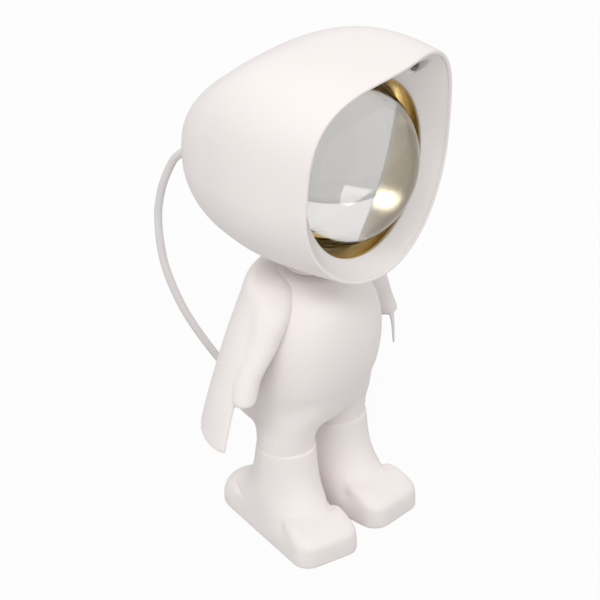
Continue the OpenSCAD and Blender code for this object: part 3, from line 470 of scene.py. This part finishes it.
# plug at the end of the cord
plugFacts = {
    "relief": 8, "len": 18, "width": 15, "height": 8, "round": 1.6, "bite": 0.1, "neck": 1.5, "overlap": 1,
    "ribs": 4, "ribFrom": 0.4, "ribStep": 1.9, "ribOut": 0.55, "ribGrows": 0.28,
    "rib": [(0, 0), (0, 1.2), (-0.45, 1.3), (-0.4, 1.85)],
    "shell": (12, 12, 4.5), "shellWall": 0.4, "shellSunk": 0.2, "shellRound": 0.5,
    "hollow": {"past": 1, "ahead": 0.6, "round": 0.3},
    "window": {"size": (2.4, 2.2, 20), "ahead": 6.4, "aside": 2.9},
    "tongue": {"short": 1.2, "narrow": 1.6, "thick": 1.8, "back": 0.6, "up": -0.75, "round": 0.2},
    "contact": {"size": (7, 1.1, 0.2), "ahead": 0.8, "aside": (-3.5, -1.2, 1.2, 3.5), "up": 0.2,
                "round": 0.05},
}
plugPlace = Matrix.Translation(lowerLine[-1]) @ Matrix.Rotation(math.radians(cordFacts["past"]), 4, "Z")


def makePlug():
    f = plugFacts
    r = cordFacts["diameter"] / 2
    relief = [(r - f["bite"], 0)]
    for k in range(f["ribs"]):
        z, w = f["ribFrom"] + f["ribStep"] * k, r + f["ribOut"] + f["ribGrows"] * k
        relief += [(w + out, z + up) for out, up in f["rib"]]
    neck, end = r + f["neck"], f["relief"] + f["overlap"]
    relief += [(neck, f["relief"]), (neck, end), (0, end), (0, 0)]
    cuff = makePiece("plugRelief", turned(relief, 40), "base", cordSkin, plugPlace @ sideways)
    bm = bmesh.new()
    addBlock(bm, (f["len"], f["width"], f["height"]), (f["relief"] + f["len"] / 2, 0, 0), f["round"], 4)
    body = makePiece("plugBody", bm, "base", white, plugPlace)
    sx, sy, sz = f["shell"]
    start = f["relief"] + f["len"]
    middle = start + sx / 2
    bm = bmesh.new()
    addBlock(bm, (sx, sy, sz), (middle - f["shellSunk"], 0, 0), f["shellRound"], 3)
    shell = makePiece("plugShell", bm, "base", steel, plugPlace)
    bm = bmesh.new()
    hollow, walls = f["hollow"], 2 * f["shellWall"]
    addBlock(bm, (sx + hollow["past"], sy - walls, sz - walls), (middle + hollow["ahead"], 0, 0),
             hollow["round"], 2)
    window = f["window"]
    for y in (-window["aside"], window["aside"]):
        addBlock(bm, window["size"], (start + window["ahead"], y, 0))
    cutAway(shell, makePiece("shellCutter", bm, None, steel, plugPlace))
    bm = bmesh.new()
    t = f["tongue"]
    addBlock(bm, (sx - t["short"], sy - t["narrow"], t["thick"]), (middle - t["back"], 0, t["up"]),
             t["round"], 2)
    tongue = makePiece("plugTongue", bm, "base", black, plugPlace)
    bm = bmesh.new()
    c = f["contact"]
    for y in c["aside"]:
        addBlock(bm, c["size"], (middle + c["ahead"], y, c["up"]), c["round"], 1)
    contacts = makePiece("plugContacts", bm, "base", gold, plugPlace)
    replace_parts(body, "plug_body")
    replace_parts(shell, "plug_shell")
    return [cuff, body, shell, tongue, contacts]


# tie round the coil
tieFacts = {
    "low": (-2, 14.2, 0.9), "room": (4, 7.6, 15.2), "wall": 0.8, "round": 1.1, "roomRound": 0.8, "past": 4,
}


def makeTie():
    f = tieFacts
    x, y, z = f["low"]
    w, d, h = f["room"]
    middle = (x + w / 2, y + d / 2, z + h / 2)
    place = Matrix.Translation((*cordFacts["coilAt"], 0))
    bm = bmesh.new()
    addBlock(bm, (w, d + 2 * f["wall"], h + 2 * f["wall"]), middle, f["round"], 5)
    band = makePiece("coilTie", bm, "base", strapGrey, place)
    bm = bmesh.new()
    addBlock(bm, (w + f["past"], d, h), middle, f["roomRound"], 5)
    cutAway(band, makePiece("tieCutter", bm, None, strapGrey, place))
    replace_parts(band, "coil_tie")
    return band


plugPieces = makePlug()
tie = makeTie()
[p * mm for p in upperLine]
upperLine[-1] * mm
[p * mm for p in lowerLine]
print("plug and tie made")


# hood
hoodFacts = {
    "width": 85, "brow": 42, "chin": 42, "length": 92, "wall": 2.4, "lean": math.radians(8), "drop": 5.8,
    "ahead": 12.4, "swell": (2, 5.3, -0.9), "swellShare": (0.6, 0.75), "cheekBack": 5.6, "farBrow": 1.2,
    "square": (3.5, 2.7), "squareShare": 0.85, "close": (3.1, 0.58), "droop": 1.65, "pole": 0.9985,
    "rings": 40, "sides": 144, "rimEdge": 1.4, "rimRound": 0.6,
    "slot": (6.3, 9.2, 20), "slotRound": 1.2, "tongueRound": 5.5,
    "lug": {"aside": 8.3, "radius": 6, "thick": 4, "high": 7.9},
}


def hoodPoint(turn, t, inset):
    f = hoodFacts
    close = (1 - t ** f["close"][0]) ** f["close"][1]
    side = math.sin(math.pi * min(t / f["swellShare"][0], 1))
    over = math.sin(math.pi * min(t / f["swellShare"][1], 1))
    w = (f["width"] / 2 + f["swell"][0] * side - inset) * close
    c, s = math.cos(turn), math.sin(turn)
    n = f["square"][0] + (f["square"][1] - f["square"][0]) * min(t / f["squareShare"], 1) if s > 0 else 2
    height = f["brow"] + f["swell"][1] * over if s > 0 else f["chin"] + f["swell"][2] * over
    x, z = w * power(c, n), (height - inset) * close * power(s, n)
    cheek = (x / max(w, 0.001)) ** 2
    if c > 0 and s > 0:  # the far half of the brow stands further back
        cheek *= 1 + f["farBrow"] * s * (1 - cheek)
    lean = f["cheekBack"] * cheek - z * math.tan(f["lean"])
    y = t * (f["length"] - inset) - f["ahead"] + lean * (1 - t) ** 2
    return Vector((x, y, z - f["drop"] * t ** f["droop"]))


def makeHood():
    f = hoodFacts
    along = [f["pole"] * math.sin(math.pi / 2 * k / f["rings"]) for k in range(f["rings"] + 1)]
    stations = [(t, f["wall"] if t else f["rimEdge"]) for t in reversed(along)] + [(t, 0) for t in along]
    bm = bmesh.new()
    first, last = loft(bm, stations, lambda turn, s: hoodPoint(turn, *s), f["sides"], (False, False))
    for end, inset in ((first, f["wall"]), (last, 0)):
        verts = list({v for e in end for v in e.verts})
        bmesh.ops.pointmerge(bm, verts=verts, merge_co=hoodPoint(0, 1, inset) * Vector((0, 1, 1)))
    soften(bm, f["rimRound"], 5, 60)
    hood = makePiece("hood", bm, "head", white, ringPlace, 50)
    w, d, h = f["slot"]
    bm = bmesh.new()
    addBlock(bm, (2 * w, 2 * d, h), (0, 0, -f["tongueRound"] / 2 - h / 2), f["slotRound"], 4)
    cutAway(hood, makePiece("slotCutter", bm, None, white, pivotPlace))
    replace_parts(hood, "hood_shell")
    bm = bmesh.new()
    lug = f["lug"]
    for x in (-lug["aside"], lug["aside"]):  # they hold the tilt pin
        addRod(bm, lug["radius"], lug["thick"], Matrix.Translation((x, 0, 0)) @ sideways)
        addBlock(bm, (lug["thick"], 2 * lug["radius"], lug["high"]), (x, 0, -lug["high"] / 2))
    makePiece("hoodLugs", bm, "head", white, pivotPlace)


makeHood()
print("hood made")


# bezel, a funnel from the rim down to the opening
bezelFacts = {
    "opening": 33.9, "edge": 0.8, "lip": 2, "inset": 2.6, "front": (0.012, 1.7), "side": 0.0978,
    "folds": 8, "hollow": 0.7, "round": 0.45, "collar": {"in": 34.8, "out": 36.4, "from": 1.5, "to": 16},
    "screwAt": (27, 31.4), "recess": 3.0, "bore": 40, "seat": -3.6,
}
screwFacts = {
    "head": 2.2, "high": 1.5, "crown": 0.6, "crownSteps": 6, "shank": 1.2, "end": 13.5, "point": 1,
    "slot": (0.5, 2.6, 0.7),
}


def lipPoint(turn, inset, depth):
    f = hoodFacts
    t = (f["ahead"] + depth) / f["length"]
    p = hoodPoint(turn, t, inset)
    q = hoodPoint(turn, t - (p.y - depth) / f["length"], inset)
    return Vector((q.x, depth, q.z))


def bezelLoop(turn, k):
    f = bezelFacts
    circle = Vector((f["opening"] * math.cos(turn), 0, f["opening"] * math.sin(turn)))
    front = hoodPoint(turn, *f["front"])
    if k <= f["folds"]:  # the funnel, slightly hollow
        u = k / f["folds"]
        return front.lerp(circle, u) + Vector((0, f["hollow"] * math.sin(math.pi * u), 0))
    back = (circle + Vector((0, f["edge"], 0)), lipPoint(turn, f["inset"], f["lip"]),
            hoodPoint(turn, f["side"], f["inset"]))
    return back[k - f["folds"] - 1]


def makeBezel():
    f = bezelFacts
    bm = bmesh.new()
    loops = range(f["folds"] + 4)  # three of them behind the funnel
    first, last = loft(bm, loops, bezelLoop, hoodFacts["sides"], (False, False))
    bmesh.ops.bridge_loops(bm, edges=first + last)
    bmesh.ops.recalc_face_normals(bm, faces=bm.faces)
    soften(bm, f["round"], 3, 45)
    bezel = makePiece("bezel", bm, "head", bezelWhite, ringPlace, 50)
    x, z = f["screwAt"]
    bm = bmesh.new()
    for side in (-1, 1):
        addRod(bm, f["recess"], f["bore"], Matrix.Translation((side * x, -z, f["seat"] - f["bore"] / 2)))
    cutAway(bezel, makePiece("recessCutter", bm, None, bezelWhite, lensPlace))
    c = f["collar"]
    bm = turned([(c["in"], c["from"]), (c["out"], c["from"]), (c["out"], c["to"]), (c["in"], c["to"])], 96)
    makePiece("bezelCollar", bm, "head", bezelWhite, lensPlace)
    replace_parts(bezel, "front_bezel")


def makeBezelScrews():
    f, s = bezelFacts, screwFacts
    seat, top, n = f["seat"], f["seat"] - s["high"], s["crownSteps"]
    profile = [(s["head"] * k / n, seat - s["high"] * (1 - s["crown"] * (k / n) ** 2)) for k in range(n + 1)]
    profile += [(s["head"], seat), (s["shank"], seat), (s["shank"], s["end"] - s["point"]), (0, s["end"])]
    x, z = f["screwAt"]
    bm = bmesh.new()
    for side in (-1, 1):
        one = turned(profile, 40, False)
        one.transform(Matrix.Translation((side * x, -z, 0)))
        mesh = bpy.data.meshes.new("screwTurn")
        one.to_mesh(mesh)
        one.free()
        bm.from_mesh(mesh)
        bpy.data.meshes.remove(mesh)
    # the screws take the darker steel, whose dark tone is painted recess shade
    screws = makePiece("bezelScrews", bm, "head", recessShadeSteel, lensPlace)
    wide, across, deep = s["slot"]
    for size in ((wide, across, 2 * deep), (across, wide, 2 * deep)):  # a cross for the driver, bar by bar
        bm = bmesh.new()
        for side in (-1, 1):
            addBlock(bm, size, (side * x, -z, top))
        cutAway(screws, makePiece("slotBars", bm, None, steel, lensPlace))
    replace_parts(screws, "bezel_screws")


makeBezel()
makeBezelScrews()
print("bezel and screws made")


# lens and its gold ring
lensFacts = {
    "dome": 32.9, "centre": 16.1, "flangeAt": 8, "flange": 33.5, "edge": 2.5, "rings": 36, "sides": 128,
}
goldFacts = {
    "out": 34.7, "front": 1.1, "mouth": 33.9, "back": 12.5, "seat": 33.6, "ledge": 7.9, "lip": 32.77,
    "lipFront": 6.4, "round": 0.15,
}


def makeLens():
    f, g = lensFacts, goldFacts
    reach = math.acos((f["centre"] - f["flangeAt"]) / f["dome"])
    profile = []
    for k in range(f["rings"] + 1):
        a = reach * k / f["rings"]
        profile.append((f["dome"] * math.sin(a), f["centre"] - f["dome"] * math.cos(a)))
    back = f["flangeAt"] + f["edge"]
    profile += [(f["flange"], f["flangeAt"]), (f["flange"], back), (0, back)]
    lens = makePiece("lens", turned(profile, f["sides"], False), "head", glass, lensPlace)
    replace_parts(lens, "lens")
    bm = turned([(g["mouth"], g["front"]), (g["out"], g["front"]), (g["out"], g["back"]),
                 (g["seat"], g["back"]), (g["seat"], g["ledge"]), (g["lip"], g["ledge"]),
                 (g["lip"], g["lipFront"])], f["sides"])
    soften(bm, g["round"], 2)
    ring = makePiece("lensRing", bm, "head", gold, lensPlace)
    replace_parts(ring, "lens_ring")


makeLens()
print("lens made")


# neck: the swivel's disc and the tongue of the tilt joint
neckFacts = {
    "disc": 10, "low": 108.8, "thick": 1.3, "round": 0.5, "spigot": 6, "spigotEnd": 91.7, "tongue": (12, 5.5),
    "sunk": 1,
}


def makeNeck():
    f = neckFacts
    top = f["low"] + f["thick"]
    bm = turned([(0, f["spigotEnd"]), (f["spigot"], f["spigotEnd"]), (f["spigot"], f["low"]),
                 (f["disc"], f["low"]), (f["disc"], top), (0, top)], 64, False)
    soften(bm, f["round"], 3)
    w, r = f["tongue"]
    addBlock(bm, (w, 2 * r, pivotZ - top + f["sunk"]), (0, 0, (pivotZ + top - f["sunk"]) / 2))
    addRod(bm, r, w, Matrix.Translation((0, 0, pivotZ)) @ sideways)
    neck = makePiece("neck", bm, "neck", white, Matrix.Translation((0, axisY, 0)))
    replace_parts(neck, "neck_swivel")


makeNeck()
print("neck made")


# torso with the legs, one smooth body
bodyFacts = {
    # height, half width, half depth, shift back, squareness, more depth behind
    "torso": [(43, 18.9, 11.9, 3.4, 2.3, 8.5), (47.5, 22.4, 17.2, 3.9, 2.4, 6.5),
              (56, 25.4, 20.3, 2.8, 2.5, 3), (68, 27, 22, 0.5, 2.6, 0), (82, 27, 22, -1, 2.6, 0),
              (94, 24.57, 20.24, -1.5, 2.5, 0), (102, 20.25, 17.6, -1, 2.3, 0),
              (106, 15.5, 15, 0, 2.1, 0), (108, 13, 13, 0, 2, 0)],
    "seatSquare": 0.12,
    # height, distance from the middle, half width, half depth, shift back
    "leg": [(34, 15.4, 11.1, 11.1, -0.2), (39, 15.4, 11.1, 11.1, -0.2), (46, 15, 11, 12.6, -0.3),
            (54, 13.8, 11.4, 16.6, 0.4), (62, 11.4, 10.6, 18.1, 0.3)],
    "torsoRings": 48, "torsoSides": 96, "legRings": 20, "legSides": 64,
    "voxel": 0.7, "rounds": 24, "band": (43, 64, 60),
}


def makeBody():
    f = bodyFacts
    bm = bmesh.new()

    def torsoPoint(turn, u):
        z, w, d, shift, n, seat = rowAt(f["torso"], u)
        if math.sin(turn) > 0:  # deeper and squarer behind
            d, n = d + seat, n + f["seatSquare"] * seat
        return Vector((w * power(math.cos(turn), n), d * power(math.sin(turn), n) + shift + axisY, z))

    loft(bm, shares(f["torsoRings"]), torsoPoint, f["torsoSides"])
    for side in (-1, 1):
        def legPoint(turn, u):
            z, x, w, d, shift = rowAt(f["leg"], u)
            return Vector((side * x + w * math.cos(turn), axisY + shift + d * math.sin(turn), z))
        loft(bm, shares(f["legRings"]), legPoint, f["legSides"])
    body = makePiece("body", bm, "base", white)
    fuse(body, f["voxel"], f["rounds"])
    easeBand(body, *f["band"])
    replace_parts(body, "torso_front", "torso_back")


makeBody()
print("body made")


# cape, one moulding with the arms
capeFacts = {
    # height, half width, half depth, shift back
    "rows": [(49, 51, 33.5, 0.5), (63.5, 46.4, 30.8, 0.5), (83.5, 38.25, 26.7, 0.5), (99.5, 30, 23, 0.5),
             (104.8, 27.2, 21.5, 0.8), (107.4, 23.4, 18.8, 1), (108.3, 16.6, 16.4, 0)],
    # height, distance from the middle, shift back, radius
    "arm": [(66.2, 41.6, -1.2, 1.5), (67.8, 41, -1.2, 4.2), (71, 39.8, -0.7, 4.8), (77, 37.2, -0.5, 5),
            (86, 31.8, -1.5, 6), (95, 26.9, -1.8, 7), (101, 23.2, -0.7, 7.4), (105, 20, 1, 6.5),
            (107, 16.6, 1.2, 4)],
    # the far half: more width from row to row, flare of its front edge with its degrees, rise of its hem
    "wider": [(2.4,), (4.4,), (3.4,), (2.2,), (1.4,), (0.7,), (0,)],
    "flare": (8, 10, 85), "flareAt": (0.12, 0.25), "lift": 8, "liftFrom": 3,
    "farArm": (2.6, -1.2, 0.93),  # further out, further ahead, share of its length
    "thick": 1.6, "yoke": 9, "yokeAt": (0.4, 0.6, 0.83),
    "rings": 40, "sides": 240, "armRings": 32, "armSides": 48,
    "voxel": 0.5, "rounds": 7, "band": (88, 112, 40),
}


def makeCape():
    f = capeFacts
    bm = bmesh.new()

    def capePoint(turn, u):
        z, w, d, shift = rowAt(f["rows"], u)
        share = (turn / math.pi) % 2  # up to 1 along the outside, then back along the inside
        start, whole, stop = f["yokeAt"]
        yoke = f["yoke"] * ease((u - start) / (whole - start)) * (1 - ease((u - stop) / (1 - stop)))
        a, inset = (share * math.pi, 0) if share <= 1 else ((2 - share) * math.pi, f["thick"] + yoke)
        x = (w - inset) * math.cos(a)
        if x > 0:  # the far half stands a little wider, its edge flares and its hem rises
            most, turnsAt, ends = f["flare"]
            first, last = f["flareAt"]
            deg = math.degrees(a)
            back = 1 - ease((deg - turnsAt) / (ends - turnsAt))
            low = 1 - ease((u - first) / (last - first))
            x += rowAt(f["wider"], u)[0] * math.cos(a) + most * min(deg / turnsAt, 1) * back * low
            z += f["lift"] * ease((deg - f["liftFrom"]) / turnsAt) * back * (1 - u) ** 3
        return Vector((x, (d - inset) * math.sin(a) + shift + axisY, z))

    loft(bm, shares(f["rings"]), capePoint, f["sides"])
    shoulder = f["arm"][-1][0]
    for side in (-1, 1):
        def armPoint(turn, u):
            z, x, shift, r = rowAt(f["arm"], u)
            if side > 0:
                out, ahead, share = f["farArm"]
                x, shift, z = x + out, shift + ahead, shoulder - (shoulder - z) * share
            return Vector((side * x + r * math.cos(turn), axisY + shift + r * math.sin(turn), z))
        loft(bm, shares(f["armRings"]), armPoint, f["armSides"])
    cape = makePiece("cape", bm, "base", white)
    fuse(cape, f["voxel"], f["rounds"])
    easeBand(cape, *f["band"])
    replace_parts(cape, "cape")


makeCape()
print("cape made")


# boots
bootFacts = {
    "floor": 0.8, "soleHeight": 7.2,
    "heel": [(20.4, 12.6, 6), (18.8, 11.2, 9.6), (15, 9, 12.4)],  # distance back, radius, height
    "toeWidth": 27.6, "toeLength": 32.8, "toeHeight": 13.4, "corner": 6.5,
    # corner radius, distance from the toe's side, distance from its front, height below its top
    "steps": [(6.5, 6.5, 6.5, 4.6), (6, 7, 9.5, 2.2), (3.5, 4.7, 14.5, -0.4)],
    # height, half width, half length, shift back, squareness
    "rows": [(4, 13, 27.4, -0.8, 3), (8, 13, 27.2, -0.8, 3), (14, 12.9, 21.4, 0, 2.3),
             (21, 12.4, 16, -0.1, 2), (29, 11.9, 12.9, -0.3, 2), (37.6, 11.4, 11.4, -0.6, 2)],
    "right": (-15.4, -17), "left": (15.4, -2),  # place across and turn
    "rings": 30, "sides": 64, "voxel": 0.5, "rounds": 8, "band": (5, 31, 60),
    # where the shaft stands on the heel and at the cap's outer end: from, to, share of height, width, depth
    "grooves": [(20, 160, 0.3, 1.0, 1.0), (290, 350, 0.4, 1.4, 1.4)], "grooveSteps": 120,
}


def addHull(bm, rounds):
    made = []
    for x, y, r, low, high in rounds:
        for z in (low, high):
            at = Matrix.Translation((x, y, z))
            made += bmesh.ops.create_circle(bm, segments=40, radius=r, matrix=at)["verts"]
    out = bmesh.ops.convex_hull(bm, input=made, use_existing_faces=False)
    spare = {g for g in out["geom_interior"] + out["geom_unused"] if isinstance(g, bmesh.types.BMVert)}
    bmesh.ops.delete(bm, geom=list(spare), context="VERTS")


def makeBoot(name, node):
    f = bootFacts
    x, turnDeg = f[name]
    low, half, c = f["floor"], f["toeWidth"] / 2, f["corner"]
    bm = bmesh.new()
    addHull(bm, [(0, y, r, low, low + h) for y, r, h in f["heel"]] + [
        (side * (half - c), c - f["toeLength"], c, low, low + f["soleHeight"]) for side in (-1, 1)])

    def shaftPoint(turn, u):
        z, w, d, shift, n = rowAt(f["rows"], u)
        return Vector((w * power(math.cos(turn), n), d * power(math.sin(turn), n) + shift, z))

    loft(bm, shares(f["rings"]), shaftPoint, f["sides"])
    addHull(bm, [(side * (half - s[1]), s[2] - f["toeLength"], s[0], low, low + f["toeHeight"] - s[3])
                 for side in (-1, 1) for s in f["steps"]])
    place = Matrix.Translation((x, axisY, 0)) @ Matrix.Rotation(math.radians(turnDeg), 4, "Z")
    boot = makePiece(name + "Boot", bm, "base", white, place)
    fuse(boot, f["voxel"], f["rounds"])
    easeBand(boot, *f["band"])
    for start, stop, u, width, depth in f["grooves"]:
        n = f["grooveSteps"]
        turns = [math.radians(start + (stop - start) * k / n) for k in range(n + 1)]
        carve(boot, [place @ shaftPoint(turn, u) for turn in turns], width, depth)
    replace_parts(boot, node)


makeBoot("right", "right_boot")
makeBoot("left", "left_boot")
print("boots made")


# push switch and cord gland in the back of the hood
switchFacts = {
    "at": (45, 0.9), "probe": (0.75, 0.003), "barrel": 5, "flange": 6.6, "deep": 9, "low": -0.15, "top": 1,
    "bore": 3.65, "boreDeep": 5, "round": 0.3,
}
buttonFacts = {
    "radius": 3.6, "proud": 2.4, "len": 5.6, "dish": 0.5, "dishShare": 0.8, "dishSteps": 6, "round": 0.35,
}
glandFacts = {
    "at": 0.997, "tilt": -125, "radius": 3.8, "tip": 2.3, "out": 9, "inside": 8.1, "rim": 5.8,
    "rimThick": 1.5, "bore": 1.65, "plain": 2, "ribs": 4, "ribsFrom": 2.2, "ribsEnd": 2.4, "round": 0.12,
    "rib": [(0.35, 0), (0.3, 0.62), (-0.15, 0.7), (-0.15, 0.95)],
}


def switchSpot(turn, t):
    f = switchFacts
    return hoodPoint(math.radians(f["at"][0] + turn), f["at"][1] + t, 0)


def switchFrame():
    aside, along = switchFacts["probe"]
    way = (switchSpot(0, along) - switchSpot(0, -along)).cross(switchSpot(aside, 0) - switchSpot(-aside, 0))
    way.normalize()
    place = ringPlace @ Matrix.Translation(switchSpot(0, 0))
    place = place @ Matrix.Rotation(math.atan2(way.y, way.x), 4, "Z")
    return place @ Matrix.Rotation(math.acos(way.z), 4, "Y")


def makeSwitch():
    f, b = switchFacts, buttonFacts
    place = switchFrame()
    bm = turned([(0, -f["deep"]), (f["barrel"], -f["deep"]), (f["barrel"], f["low"]),
                 (f["flange"], f["low"]), (f["flange"], f["top"]), (f["bore"], f["top"]),
                 (f["bore"], -f["boreDeep"]), (0, -f["boreDeep"])], 64, False)
    soften(bm, f["round"], 3)
    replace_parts(makePiece("switchBody", bm, "head", black, place), "switch_body")
    low, n = b["proud"] - b["len"], b["dishSteps"]
    dish = [(b["radius"] * b["dishShare"] * k / n, b["proud"] - b["dish"] * (1 - (k / n) ** 2))
            for k in range(n + 1)]
    bm = turned([(0, low), (b["radius"], low), (b["radius"], b["proud"])] + dish[::-1], 64, False)
    soften(bm, b["round"], 3)
    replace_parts(makePiece("powerButton", bm, "button", white, place), "power_button")


def makeGland():
    f = glandFacts
    spot = hoodPoint(-math.pi / 2, f["at"], 0)
    place = ringPlace @ Matrix.Translation(spot) @ Matrix.Rotation(math.radians(f["tilt"]), 4, "X")
    end = -f["inside"] - f["rimThick"]
    profile = [(f["bore"], end), (f["rim"], end), (f["rim"], -f["inside"]), (f["radius"], -f["inside"]),
               (f["radius"], f["plain"])]
    step = (f["out"] - f["ribsEnd"]) / f["ribs"]
    for k in range(f["ribs"]):
        z = f["ribsFrom"] + step * k
        r = f["radius"] + (f["tip"] - f["radius"]) * (k + 1) / f["ribs"]
        profile += [(r + out, z + step * share) for out, share in f["rib"]]
    profile += [(f["tip"], f["out"]), (f["bore"], f["out"])]
    bm = turned(profile, 56)
    soften(bm, f["round"], 2, 50)
    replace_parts(makePiece("cordGland", bm, "head", cordSkin, place), "cord_gland")


makeSwitch()
makeGland()
print("switch and gland made")


# the CAD nodes that show as they are
dress = {
    "barrel_screws": steel, "sink_screws": steel, "switch_nut": steel, "tilt_pin": steel, "tilt_nut": steel,
    "tilt_washers": steel, "swivel_washer": steel, "swivel_screw": steel, "torso_screws": steel,
    "cape_screws": steel, "leg_screws": steel, "sole_screws": steel, "boot_weights": steel,
    "heat_sink": aluminium, "reflector": mirror, "optic_barrel": black, "lens_gasket": amberSilicone,
    "led_board": board, "led_chip": phosphor, "lamp_leads": wireSkin, "neck_bush": solePale,
    "friction_ring": solePale, "right_sole": solePale, "left_sole": solePale, "foot_pads": padGrey,
}
for name, finish in dress.items():
    nodes[name].data.materials.clear()
    nodes[name].data.materials.append(finish)
print("nodes dressed:", len(dress))


# floor, world and lamps
stageFacts = {"floor": 4, "paper": 0.6, "show": 0.95, "mirrored": 0.12, "sky": 0.735, "aim": (0, 0, 0.1)}
lampFacts = {  # one lamp shows in the lens
    "key": {"at": (-0.82, -0.42, 1.1), "size": (0.95, 0.28), "power": 7.1, "inGlass": True},
    "fill": {"at": (0.9, -0.9, 0.5), "size": (0.8, 0.8), "power": 1.1, "inGlass": False},
    "rear": {"at": (0.4, 1.0, 0.9), "size": (0.7, 0.7), "power": 1.6, "inGlass": False},
}


def whiteShare(f, direct, mirrored):
    rays = ("Is Camera Ray", "Is Glossy Ray", "Is Transmission Ray")
    seen, glossy, through = [f.node("ShaderNodeLightPath", out=ray) for ray in rays]
    return seen * direct + (glossy + through) * mirrored


def makeStage():
    f = paint("paper_floor")
    paper = f.node("ShaderNodeBsdfDiffuse", {}, {"Color": grey(stageFacts["paper"])})
    shine = f.node("ShaderNodeEmission", {}, {"Color": grey(1), "Strength": 1.0})
    share = whiteShare(f, stageFacts["show"], stageFacts["mirrored"])
    bm = bmesh.new()
    bmesh.ops.create_grid(bm, x_segments=1, y_segments=1, size=stageFacts["floor"] / 2)
    mesh = bpy.data.meshes.new("floor")
    bm.to_mesh(mesh)
    bm.free()
    mesh.materials.append(f.end(f.node("ShaderNodeMixShader", {}, {0: share, 1: paper, 2: shine})))
    floor = bpy.data.objects.new("floor", mesh)
    scene.collection.objects.link(floor)
    f = Finish(bpy.data.worlds.new("studio"))
    level = f.tint(whiteShare(f, 1.0, 1.0), grey(stageFacts["sky"]), grey(1))
    scene.world = f.end(f.node("ShaderNodeBackground", {}, {"Color": level}), "ShaderNodeOutputWorld")
    for name, lamp in lampFacts.items():
        data = bpy.data.lights.new(name, "AREA")
        data.shape, data.energy = "RECTANGLE", lamp["power"]
        data.size, data.size_y = lamp["size"]
        light = bpy.data.objects.new(name, data)
        light.location = lamp["at"]
        light.rotation_mode = "QUATERNION"
        light.rotation_quaternion = (Vector(stageFacts["aim"]) - light.location).to_track_quat("-Z", "Y")
        light.visible_glossy, light.visible_transmission = False, lamp["inGlass"]
        scene.collection.objects.link(light)


makeStage()
print("stage lit")
